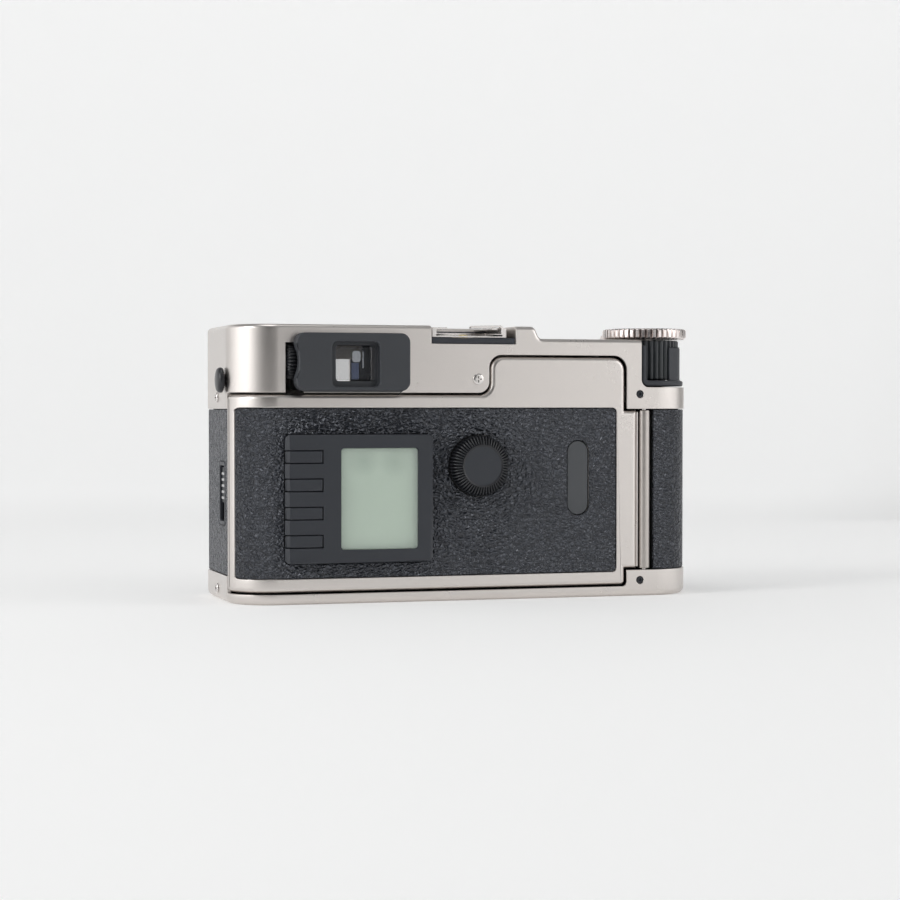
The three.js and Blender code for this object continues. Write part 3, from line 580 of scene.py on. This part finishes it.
# ---- Film window ----
# An oblong of dark smoked plastic, let into the door over the cassette so that its label can be
# read. Its edge is polished round.
smoked = Paint("smoked_window")
smoke = smoked.noise(7 * MM, 3.0)
smoked_colour = smoked.between(smoke, (0.032, 0.036, 0.042), (0.045, 0.05, 0.057))
smoked_window = smoked.finish(Base_Color=smoked_colour, Roughness=0.16 + 0.1 * smoke, Coat_Weight=0.4)
film_window = rounded(shape_of("film_window"), 0.2, 2)
piece("film_window_pane", film_window, smoked_window, "door", "smoked_window", "film_window")

# ---- Viewfinder ----
# A rubber-finished black eyepiece is screwed over the finder's blackened tube. Behind its lens stand
# four thin sheets: a dark one as painted shade, and bright and blue metal ones as painted reflections
# in the finder. A toothed wheel beside it sets the eye's correction.
EYEPIECE_EDGE = 0.54
rubbery = moulded_plastic("rubber_finish", (0.034, 0.037, 0.043), 0.5)
eyepiece_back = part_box("eyepiece_housing")[0].y


def on_eyepiece_face(middle, edge):
    return middle.y < eyepiece_back + BARELY


eyepiece = rounded(shape_of("eyepiece_housing"), EYEPIECE_EDGE, 4, on_eyepiece_face)
rounded(eyepiece, 0.15, 2)
piece("eyepiece_frame", eyepiece, rubbery, "camera_body", "black_plastic", "eyepiece_housing")


def coated_glass(name, colour, alpha):
    """A lens face with a magenta and blue coating that shows at its rim."""
    paint = Paint(name)
    rim = paint.node("ShaderNodeLayerWeight", None, {"Blend": 0.35}, output=1)
    haze = paint.noise(5 * MM, 3.0)
    tint = paint.between(rim, colour, (0.16, 0.1, 0.2))
    coat = {"IOR": 1.6, "Coat_Weight": 1.0}
    return paint.finish(Base_Color=tint, Roughness=0.03 + 0.03 * haze, Alpha=alpha + 0.3 * rim, **coat)


optic = coated_glass("coated_lens", (0.02, 0.03, 0.05), 0.14)
for node in ("eyepiece_lens", "viewfinder_window"):
    lens = rounded(shape_of(node), 0.25, 3)
    piece(node + "_glass", lens, optic, "camera_body", "clear_window", node)
tube = rounded(shape_of("viewfinder_tube"), 0.15, 2)
piece("viewfinder_light_tube", tube, inside_black, "camera_body", "dark_frame", "viewfinder_tube")
SHEET_THICKNESS = 0.12


def through_sheet(middle, edge):
    """Whether an edge crosses the sheet's thickness, as its four corners do."""
    return abs(edge.verts[0].co.y - edge.verts[1].co.y) > TOUCHING


def upright_sheet(low_x, high_x, low_z, high_z, y, corner):
    """A thin sheet across the finder, in millimetres from the middle of the eyepiece's lens."""
    bm = bmesh.new()
    bmesh.ops.create_cube(bm, size=1.0)
    middle = centre_of("eyepiece_lens") / MM
    size = Vector((high_x - low_x, SHEET_THICKNESS, high_z - low_z))
    place = Vector((middle.x + (low_x + high_x) / 2, middle.y + y, middle.z + (low_z + high_z) / 2))
    for vert in bm.verts:
        vert.co = (Vector(a * b for a, b in zip(vert.co, size)) + place) * MM
    if corner:
        rounded(bm, corner, 5, through_sheet)
    return bm


# Painted shade and painted reflections: these sheets stand in for the dark and bright patches seen in the
# finder.
shade_sheet_finish = satin_metal("finder_painted_shade", (0.16, 0.15, 0.14), 0.4, 0.01)
reflection_sheet_finish = satin_metal("finder_painted_reflection", (0.72, 0.75, 0.8), 0.2, 0.01)
blue_reflection_sheet_finish = satin_metal("finder_painted_blue_reflection", (0.16, 0.19, 0.3), 0.25, 0.01)
finder_parts = [
    ("upper_shade_sheet", shade_sheet_finish, upright_sheet(low_x=-6.2, high_x=3.4, low_z=1.2, high_z=5.2, y=3.2, corner=0)),
    ("reflection_patch", reflection_sheet_finish, upright_sheet(low_x=0.6, high_x=2.9, low_z=0.4, high_z=3.4, y=3.0, corner=0.8)),
    ("reflection_line", reflection_sheet_finish, upright_sheet(low_x=3.4, high_x=3.8, low_z=-1.2, high_z=3.2, y=3.0, corner=0)),
    ("blue_reflection_patch", blue_reflection_sheet_finish, upright_sheet(low_x=0.4, high_x=2.4, low_z=-4.2, high_z=0.2, y=3.0, corner=0)),
]
for name, finish, sheet in finder_parts:
    piece("finder_" + name, sheet, finish, "camera_body", "clear_window")

FACING_RIGHT = Matrix.Rotation(math.radians(90), 3, "Y")
FACING_LEFT = Matrix.Rotation(math.radians(-90), 3, "Y")
WHEEL_TEETH = 30
wheel_low, wheel_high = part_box("diopter_wheel")
wheel_radius = (wheel_high.z - wheel_low.z) / 2 / MM
half_width = (wheel_high.x - wheel_low.x) / 2 / MM
wheel_section = [(0, -half_width), (wheel_radius - 1.1, -half_width), (wheel_radius, -half_width + 0.7)]
wheel_section += [(wheel_radius, half_width - 0.7), (wheel_radius - 1.1, half_width), (0, half_width)]
wheel = spun(wheel_section, WHEEL_TEETH * STEPS_TO_A_TOOTH)
fluted(wheel, WHEEL_TEETH, 0.5, 0.15, lambda radius, height: float(radius > 2))
set_in_place(wheel, centre_of("diopter_wheel"), FACING_RIGHT)
piece("diopter_wheel_moulding", wheel, glossy, "diopter_wheel_body", "black_plastic", "diopter_wheel")

# ---- Flash and autofocus windows ----
# The front of the top cover holds a frosted flash window over a bright reflector, and a dark
# window for the autofocus sensors.
flash_pane = rounded(shape_of("flash_window"), 0.3, 3)
frosted = clear_pane("flash_pane", (0.8, 0.83, 0.85), 0.35, 0.25)
piece("flash_window_pane", flash_pane, frosted, "camera_body", "clear_window", "flash_window")
reflector = rounded(shape_of("flash_reflector"), 0.12, 1)
piece("flash_reflector_bowl", reflector, steel, "camera_body", "steel", "flash_reflector")
sensor_pane = rounded(shape_of("autofocus_window"), 0.3, 3)
piece("autofocus_pane", sensor_pane, smoked_window, "camera_body", "smoked_window", "autofocus_window")

# ---- Accessory shoe ----
# A folded channel of bright steel is screwed down on a black base in the top cover's recess. A
# sprung plate lies in it, with a raised tongue, and a brass contact stands in the middle.
base = rounded(shape_of("hot_shoe_base"), 0.12, 2)
piece("shoe_base", base, black, "camera_body", "black_plastic", "hot_shoe_base")
for node in ("hot_shoe_rails", "hot_shoe_spring"):
    sheet = rounded(shape_of(node), 0.07, 2)
    piece(node + "_steel", sheet, steel, "camera_body", "steel", node)


def plated_brass():
    paint = Paint("plated_brass")
    tarnish = paint.noise(0.8 * MM, 3.0)
    colour = paint.between(tarnish, (0.62, 0.49, 0.25), (0.78, 0.66, 0.4))
    return paint.finish(Base_Color=colour, Metallic=1.0, Roughness=0.25 + 0.15 * tarnish)


brass = plated_brass()
contact_section = [(0, 0), (1.4, 0), (1.4, 1.0), (1.15, 1.35), (0.6, 1.5), (0, 1.5)]
contact = set_in_place(spun(contact_section, 32), foot_of("hot_shoe_contact"))
piece("shoe_contact", contact, brass, "camera_body", "brass", "hot_shoe_contact")

# ---- Speed dial, drum and cradle ----
# A polished steel dial with broad round teeth and inlaid marks turns above a ribbed black drum. A
# black moulded cradle holds both in the corner's notch and shields the drum's right side.
SPEED_TEETH = 46
SPEED_RIM = 2.95
SPEED_EDGE = 0.5
SPEED_DISH = 0.25
DRUM_RIBS = 38
DRUM_BORE = 2.9
DRUM_EDGE = 0.3
LATHE_RINGS = 1500.0
GROOVE_SHADE_SCALE = 0.05


def turned_steel(node):
    """Bright metal with the fine rings of the lathe on its flat top, and painted shade in the grooves round
    its rim.
    """
    paint = Paint("turned_steel_" + node)
    middle = centre_of(node)
    axis = {"Vector": paint.place, "Location": (-middle.x, -middle.y, 0)}
    centred = paint.node("ShaderNodeMapping", None, axis)
    rings = {"Vector": centred, "Scale": LATHE_RINGS, "Distortion": 0.4}
    settings = {"wave_type": "RINGS", "rings_direction": "Z"}
    lathe = paint.node("ShaderNodeTexWave", settings, rings, output=1)
    cloud = paint.noise(4 * MM, 3.0)
    colour = paint.between(cloud, (0.8, 0.735, 0.715), (0.86, 0.8, 0.78))
    gloss = 0.17 + 0.08 * cloud + 0.06 * lathe
    flat = paint.node("ShaderNodeMapping", None, {"Vector": centred, "Scale": (1, 1, 0)})
    radius = paint.node("ShaderNodeVectorMath", {"operation": "LENGTH"}, {0: flat}, output=1) * (1 / MM)
    # Painted shade: a dark brown ring darkens the teeth's grooves round the rim.
    groove_shade = paint.ramp(radius * GROOVE_SHADE_SCALE, (0.53, 0.0), (0.54, 0.6), (0.55, 0.6), (0.567, 0.0))
    tint = paint.mixed(groove_shade, colour, (0.06, 0.045, 0.04, 1))
    normal = paint.relief(lathe, 0.003 * MM, 0.5)
    return paint.finish(Base_Color=tint, Metallic=1.0, Roughness=gloss, Normal=normal)


dial_steel = turned_steel("speed_dial")
speed_low, speed_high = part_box("speed_dial")
speed_radius = (speed_high.x - speed_low.x) / 2 / MM
speed_top = (speed_high.z - speed_low.z) / MM
rim_under = speed_top - SPEED_RIM
speed_section = [(0, 0), (2.4, 0), (2.4, rim_under), (speed_radius - 0.75, rim_under)]
speed_section += [(speed_radius, rim_under + SPEED_EDGE), (speed_radius, speed_top - SPEED_EDGE)]
speed_section += [(speed_radius - 0.25, speed_top - 0.15), (speed_radius - 0.8, speed_top)]
speed_section += [(9.9, speed_top), (9.6, speed_top - SPEED_DISH), (5.3, speed_top - SPEED_DISH)]
speed_section += [(5.1, speed_top - 0.4), (0, speed_top - 0.4)]
speed = spun(speed_section, SPEED_TEETH * STEPS_TO_A_TOOTH)
fluted(speed, SPEED_TEETH, 0.95, 0.5, lambda radius, height: float(radius > 10.7))
set_in_place(speed, foot_of("speed_dial"))
piece("speed_dial_steel", speed, dial_steel, "speed_dial_body", "steel", "speed_dial")

MARKS = 12
LONG_MARK = 2.6
SHORT_MARK = 1.5
marks = bmesh.new()
for number in range(MARKS):
    length = LONG_MARK if number % 3 == 0 else SHORT_MARK
    shape = Matrix.Diagonal((length, 0.26, 0.06, 1))
    spoke = Matrix.Rotation(FULL_TURN * number / MARKS, 4, "Z")
    move = Matrix.Translation((9.1 - length / 2, 0, speed_top - 0.24))
    bmesh.ops.create_cube(marks, size=1, matrix=spoke @ move @ shape)
set_in_place(marks, foot_of("speed_dial"))
piece("speed_dial_marks", marks, black, "speed_dial_body", "black_plastic")

drum_low, drum_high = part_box("exposure_drum")
drum_radius = (drum_high.x - drum_low.x) / 2 / MM
drum_height = (drum_high.z - drum_low.z) / MM
drum_section = [(DRUM_BORE, 0), (drum_radius - DRUM_EDGE, 0), (drum_radius, DRUM_EDGE)]
drum_section += [(drum_radius, drum_height - DRUM_EDGE), (drum_radius - DRUM_EDGE, drum_height)]
drum_section += [(DRUM_BORE, drum_height)]
drum = spun(drum_section, DRUM_RIBS * STEPS_TO_A_TOOTH, closed=True)
fluted(drum, DRUM_RIBS, 0.6, 0.35, lambda radius, height: float(radius > 8))
set_in_place(drum, foot_of("exposure_drum"))
polished = moulded_plastic("polished_moulding", (0.034, 0.038, 0.042), 0.3)
piece("exposure_drum_moulding", drum, polished, "exposure_drum_body", "black_plastic", "exposure_drum")
cradle = rounded(shape_of("dial_cradle"), 0.45, 3)
piece("dial_cradle_moulding", cradle, black, "camera_body", "black_plastic", "dial_cradle")

# ---- Shutter release ----
# A polished steel button with a dished top and a threaded hole for a cable, in a low collar.
release_section = [(0, 0), (2, 0), (2, 1.8), (4.1, 1.8), (4.2, 2.0), (4.2, 5.3), (4.05, 5.65), (3.7, 5.86)]
release_section += [(3.3, 5.84), (2.4, 5.62), (1.5, 5.5), (1.05, 5.48), (0.95, 5.38), (0.95, 4.2), (0, 4.0)]
release = set_in_place(spun(release_section, 64), foot_of("release_button"))
button_steel = turned_steel("release_button")
piece("release_button_steel", release, button_steel, "release_button_body", "steel", "release_button")
collar_section = [(4.5, 0), (6, 0), (6, 0.35), (5.8, 0.75), (5.3, 0.95), (4.8, 0.95), (4.5, 0.8)]
collar = spun(collar_section, 64, closed=True)
set_in_place(collar, foot_of("release_collar"))
piece("release_collar_metal", collar, champagne, "camera_body", "champagne_metal", "release_collar")

# ---- Screws ----
# Small nickel-plated cross-head screws hold the covers, and blackened set screws lock the hinge
# pin above and below the door.
CROSS = {"half_width": 0.19, "reach": 0.88, "depth": 0.6}


def sink_cross(bm, half_width, reach, depth):
    """Sinks a cross into a head that faces +Z."""
    for direction in ((1, 0, 0), (-1, 0, 0), (0, 1, 0), (0, -1, 0)):
        for distance in (half_width, reach):
            whole = bm.verts[:] + bm.edges[:] + bm.faces[:]
            plane = {"plane_co": Vector(direction) * distance, "plane_no": direction}
            bmesh.ops.bisect_plane(bm, geom=whole, dist=1e-5, **plane)
    floor = []
    for face in bm.faces:
        x, y, height = face.calc_center_median()
        in_arm = min(abs(x), abs(y)) < half_width and max(abs(x), abs(y)) < reach
        if face.normal.z > 0.5 and height > 0 and in_arm:
            floor.append(face)
    sunk = bmesh.ops.extrude_face_region(bm, geom=floor)["geom"]
    bmesh.ops.delete(bm, geom=floor, context="FACES")
    lowered = [part for part in sunk if isinstance(part, bmesh.types.BMVert)]
    bmesh.ops.translate(bm, verts=lowered, vec=(0, 0, -depth))
    bmesh.ops.recalc_face_normals(bm, faces=bm.faces)
    return bm


def on_back_face(node):
    """The point on the covers' back face that a node's middle lies behind."""
    middle = centre_of(node)
    return Vector((middle.x, cover_low.y, middle.z))


def screw(radius, height, shank):
    section = [(0, -2.2), (shank, -2.2), (shank, 0), (radius, 0.05), (radius, 0.35 * height)]
    section += [(0.93 * radius, 0.7 * height), (0.7 * radius, 0.93 * height)]
    section += [(0.4 * radius, height), (0, height)]
    return sink_cross(spun(section, 40), **CROSS)


back_screw = set_in_place(screw(1.55, 0.4, 0.9), on_back_face("back_screw"), FACING_BACK)
piece("back_screw_plated", back_screw, steel, "camera_body", "steel", "back_screw")
for side, facing, face_x in (("left", FACING_LEFT, cover_low.x), ("right", FACING_RIGHT, cover_high.x)):
    for level in ("upper", "lower"):
        node = f"side_screw_{level}_{side}"
        middle = centre_of(node)
        seat = Vector((face_x, middle.y, middle.z))
        side_screw = set_in_place(screw(1.35, 0.55, 0.85), seat, facing)
        piece(node + "_plated", side_screw, steel, "camera_body", "steel", node)
set_screw_section = [(0, -1.1), (0.92, -1.1), (0.92, -0.3), (0.78, -0.15), (0.5, -0.15)]
set_screw_section += [(0.42, -0.25), (0.42, -0.7), (0, -0.8)]
for level in ("upper", "lower"):
    node = "hinge_set_screw_" + level
    set_screw = set_in_place(spun(set_screw_section, 24), on_back_face(node), FACING_BACK)
    piece(node + "_black", set_screw, black, "camera_body", "dark_frame", node)

# ---- Strap studs and latch ----
# A black mushroom-headed stud stands on each end for the strap. The door's latch is a ridged
# slider in an oblong moulded frame on the left end.
stud_section = [(0, 0), (1.7, 0), (1.6, 0.42), (3.1, 0.45), (3.35, 0.62), (3.4, 0.9), (3.4, 1.3)]
stud_section += [(3.25, 1.65), (2.9, 1.95), (2.3, 2.12), (1.2, 2.25), (0, 2.28)]
STUD_HALF_HEIGHT = 1.15 * MM
for side, facing, outward in (("left", FACING_LEFT, -1), ("right", FACING_RIGHT, 1)):
    node = "strap_stud_" + side
    middle = centre_of(node)
    foot = middle.x - outward * STUD_HALF_HEIGHT
    stud = set_in_place(spun(stud_section, 48), Vector((foot, middle.y, middle.z)), facing)
    piece(node + "_black", stud, glossy, "camera_body", "black_plastic", node)

plate = rounded(shape_of("latch_plate"), 0.22, 2)
piece("latch_plate_moulding", plate, black, "camera_body", "black_plastic", "latch_plate")


def ridged_plastic():
    """The slider's black plastic, worn pale along the tops of its ridges."""
    paint = Paint("ridged_plastic")
    across = paint.node("ShaderNodeSeparateXYZ", None, {"Vector": paint.place})
    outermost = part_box("latch_slider")[0].x
    tops = {"Value": across, "From Min": outermost + 0.25 * MM, "From Max": outermost}
    worn = paint.node("ShaderNodeMapRange", None, tops)
    grain = paint.noise(0.12 * MM)
    patchy = worn * (0.6 + 0.4 * grain)
    colour = paint.between(patchy, (0.03, 0.032, 0.037), (0.5, 0.5, 0.5))
    normal = paint.relief(grain, 0.01 * MM, 0.5)
    return paint.finish(Base_Color=colour, Roughness=0.45 - 0.1 * worn, Normal=normal)


slider = rounded(shape_of("latch_slider"), 0.1, 2)
ridged = ridged_plastic()
piece("latch_slider_moulding", slider, ridged, "latch_slider_body", "black_plastic", "latch_slider")

# ---- Lens ----
# A black ring is screwed to the front, and two black anodised barrels slide out of it. The front
# lens is held in the inner barrel, behind a ribbed light baffle.
FACING_FRONT = Matrix.Rotation(math.radians(-90), 3, "X")
anodised = satin_metal("black_anodised", (0.035, 0.036, 0.04), 0.32, 0.006)


def on_lens_axis(section, steps, closed=True):
    """A piece turned about the lens's axis, from points as (radius, distance from the back face)."""
    return set_in_place(spun(section, steps, closed), on_back_face("lens_ring"), FACING_FRONT)


ring_section = [(18.5, 37.5), (21.5, 37.5), (21.5, 40.1), (24.8, 40.1), (25, 40.3), (25, 42.4)]
ring_section += [(24.9, 42.8), (23.9, 43.8), (23.5, 44), (22.1, 44), (21.9, 43.8), (20.2, 43.5), (19.1, 43.4)]
ring_section += [(18.9, 43.6), (18.5, 43.6)]
ring = on_lens_axis(ring_section, 128)
piece("lens_ring_anodised", ring, anodised, "camera_body", "black_plastic", "lens_ring")
outer_section = [(16.1, 16), (18.2, 16), (18.2, 40.2), (18.0, 40.4), (18.0, 40.9), (18.2, 41.1)]
outer_section += [(18.2, 45.9), (18.0, 46.25), (17.6, 46.4), (16.7, 46.4), (16.4, 46.2), (16.1, 45.7)]
outer_barrel = on_lens_axis(outer_section, 128)
piece("outer_barrel_anodised", outer_barrel, anodised, "outer_barrel_body", "black_plastic", "outer_barrel")
BAFFLE_RIBS = 4
inner_section = [(12, 18), (15.8, 18), (15.8, 48.1), (15.65, 48.45), (15.3, 48.6), (14.4, 48.6)]
inner_section += [(14.2, 48.4)]
for rib in range(BAFFLE_RIBS):
    depth = 48.35 - 0.35 * rib
    inner_section += [(13.9 - 0.45 * rib, depth), (13.6 - 0.45 * rib, depth)]
inner_section += [(12.15, 47.0), (12, 46.8)]
inner_barrel = on_lens_axis(inner_section, 128)
piece("inner_barrel_anodised", inner_barrel, anodised, "inner_barrel_group", "black_plastic", "inner_barrel")

LENS_EDGE = 11.7
LENS_STEPS = 8
LENS_BACK = 43
LENS_FRONT = 46.9
FRONT_CURVE = 41.1
BACK_CURVE = 69.0
lens_section = [(0, LENS_BACK)]
for step in range(1, LENS_STEPS + 1):
    radius = LENS_EDGE * step / LENS_STEPS
    lens_section.append((radius, LENS_BACK + BACK_CURVE - math.sqrt(BACK_CURVE**2 - radius**2)))
for step in range(LENS_STEPS, -1, -1):
    radius = LENS_EDGE * step / LENS_STEPS
    lens_section.append((radius, LENS_FRONT - FRONT_CURVE + math.sqrt(FRONT_CURVE**2 - radius**2)))
front_lens = on_lens_axis(lens_section, 96, closed=False)
piece("front_lens_glass", front_lens, optic, "inner_barrel_group", "clear_window", "front_lens")
shutter_section = [(2.2, 37.6), (3.4, 37), (11.7, 37), (11.7, 39.5), (10.8, 39.5), (10.4, 39.1)]
shutter_section += [(4, 38.6), (2.2, 38.1)]
shutter = on_lens_axis(shutter_section, 96)
piece("shutter_blades_unit", shutter, inside_black, "inner_barrel_group", "dark_frame", "shutter_unit")

# ---- Base fittings ----
# A steel tripod socket with a cut thread is riveted into the base. The battery stands in a well
# in the right end, under a steel cap with a coin slot.
THREAD_PITCH = 1.27
THREADS = 3
socket_section = [(3.175, 0.05), (6.3, 0.05), (6.5, 0.25), (6.5, 5.6), (0, 5.6), (0, 4.9), (3.1, 4.9)]
for turn in range(THREADS, 0, -1):
    socket_section += [(2.65, turn * THREAD_PITCH + 0.55), (3.15, turn * THREAD_PITCH)]
socket = spun(socket_section, 64, closed=True)
set_in_place(socket, Vector((*centre_of("tripod_socket").xy, 0)))
piece("tripod_socket_steel", socket, steel, "camera_body", "steel", "tripod_socket")
cap = rounded(shape_of("battery_cap"), 0.15, 2)
piece("battery_cap_steel", cap, steel, "battery_cap_body", "steel", "battery_cap")
battery_section = [(0, 0), (8, 0), (8.5, 0.4), (8.5, 32.5), (8.1, 33), (3, 33), (2.9, 34.1), (0, 34.2)]
battery = set_in_place(spun(battery_section, 48), foot_of("battery"))
piece("battery_cell", battery, steel, "camera_body", "steel", "battery")

# ---- Film transport and inner frame ----
# The inner frame is one black moulding with the film gate, the cassette's chamber and the take-up
# chamber. The spool, the toothed sprocket and the rewind fork stand in it, under the circuit board.
PRESSED_EDGE = 0.2
for node in ("chassis", "body_shell"):
    piece(node + "_black", shape_of(node), inside_black, "camera_body", "dark_frame", node)
for node, body in (("door_inner_plate", "door"), ("pressure_plate", "pressure_plate_body")):
    pressing = rounded(shape_of(node), PRESSED_EDGE, 2)
    piece(node + "_black", pressing, inside_black, body, "dark_frame", node)


SPOOL_GROOVES = 6
spool_section = [(0, 0), (10.7, 0), (11, 0.3), (11, 0.9), (10.6, 1.2), (7, 1.2), (7, 42.8), (10.6, 42.8)]
spool_section += [(11, 43.1), (11, 43.7), (10.7, 44), (0, 44)]
spool = spun(spool_section, 96)
fluted(spool, SPOOL_GROOVES, 0.5, 0.6, lambda radius, height: float(1.3 < height < 42.7))
set_in_place(spool, foot_of("take_up_spool"))
piece("take_up_spool_moulding", spool, black, "take_up_spool_body", "black_plastic", "take_up_spool")
SPROCKET_TEETH = 8
sprocket_section = [(0, 0), (3.4, 0), (3.4, 3), (4.2, 3.3), (4.6, 3.9), (4.2, 4.5), (3.4, 4.8), (3.4, 38.4)]
sprocket_section += [(4.2, 38.7), (4.6, 39.3), (4.2, 39.9), (3.4, 40.2), (3.4, 43), (0, 43)]
sprocket = spun(sprocket_section, SPROCKET_TEETH * STEPS_TO_A_TOOTH)
fluted(sprocket, SPROCKET_TEETH, 1.2, 0.2, lambda radius, height: float(radius > 4.1))
set_in_place(sprocket, foot_of("sprocket_shaft"))
piece("sprocket_moulding", sprocket, black, "sprocket_shaft_body", "black_plastic", "sprocket_shaft")
fork_section = [(0, 0), (1.6, 0), (2.6, 1.7), (2.6, 10.2), (6.8, 10.2), (7, 10.4), (7, 12), (6.8, 12.2)]
fork_section += [(2.6, 12.2), (2.6, 15.7), (0, 15.7)]
fork = set_in_place(spun(fork_section, 64), foot_of("rewind_fork"))
piece("rewind_fork_moulding", fork, black, "rewind_fork_body", "black_plastic", "rewind_fork")


def coated_board():
    """Green lacquer over copper tracks."""
    paint = Paint("coated_board")
    lanes = {"Vector": paint.place, "Scale": 420.0, "Mortar Size": 0.03}
    tracks = paint.node("ShaderNodeTexBrick", None, lanes, output=1)
    colour = paint.between(tracks, (0.02, 0.09, 0.04), (0.06, 0.2, 0.09))
    return paint.finish(Base_Color=colour, Roughness=0.35 + 0.2 * tracks)


board = rounded(shape_of("circuit_board"), 0.1, 1)
piece("circuit_board_coated", board, coated_board(), "camera_body", "board_green", "circuit_board")
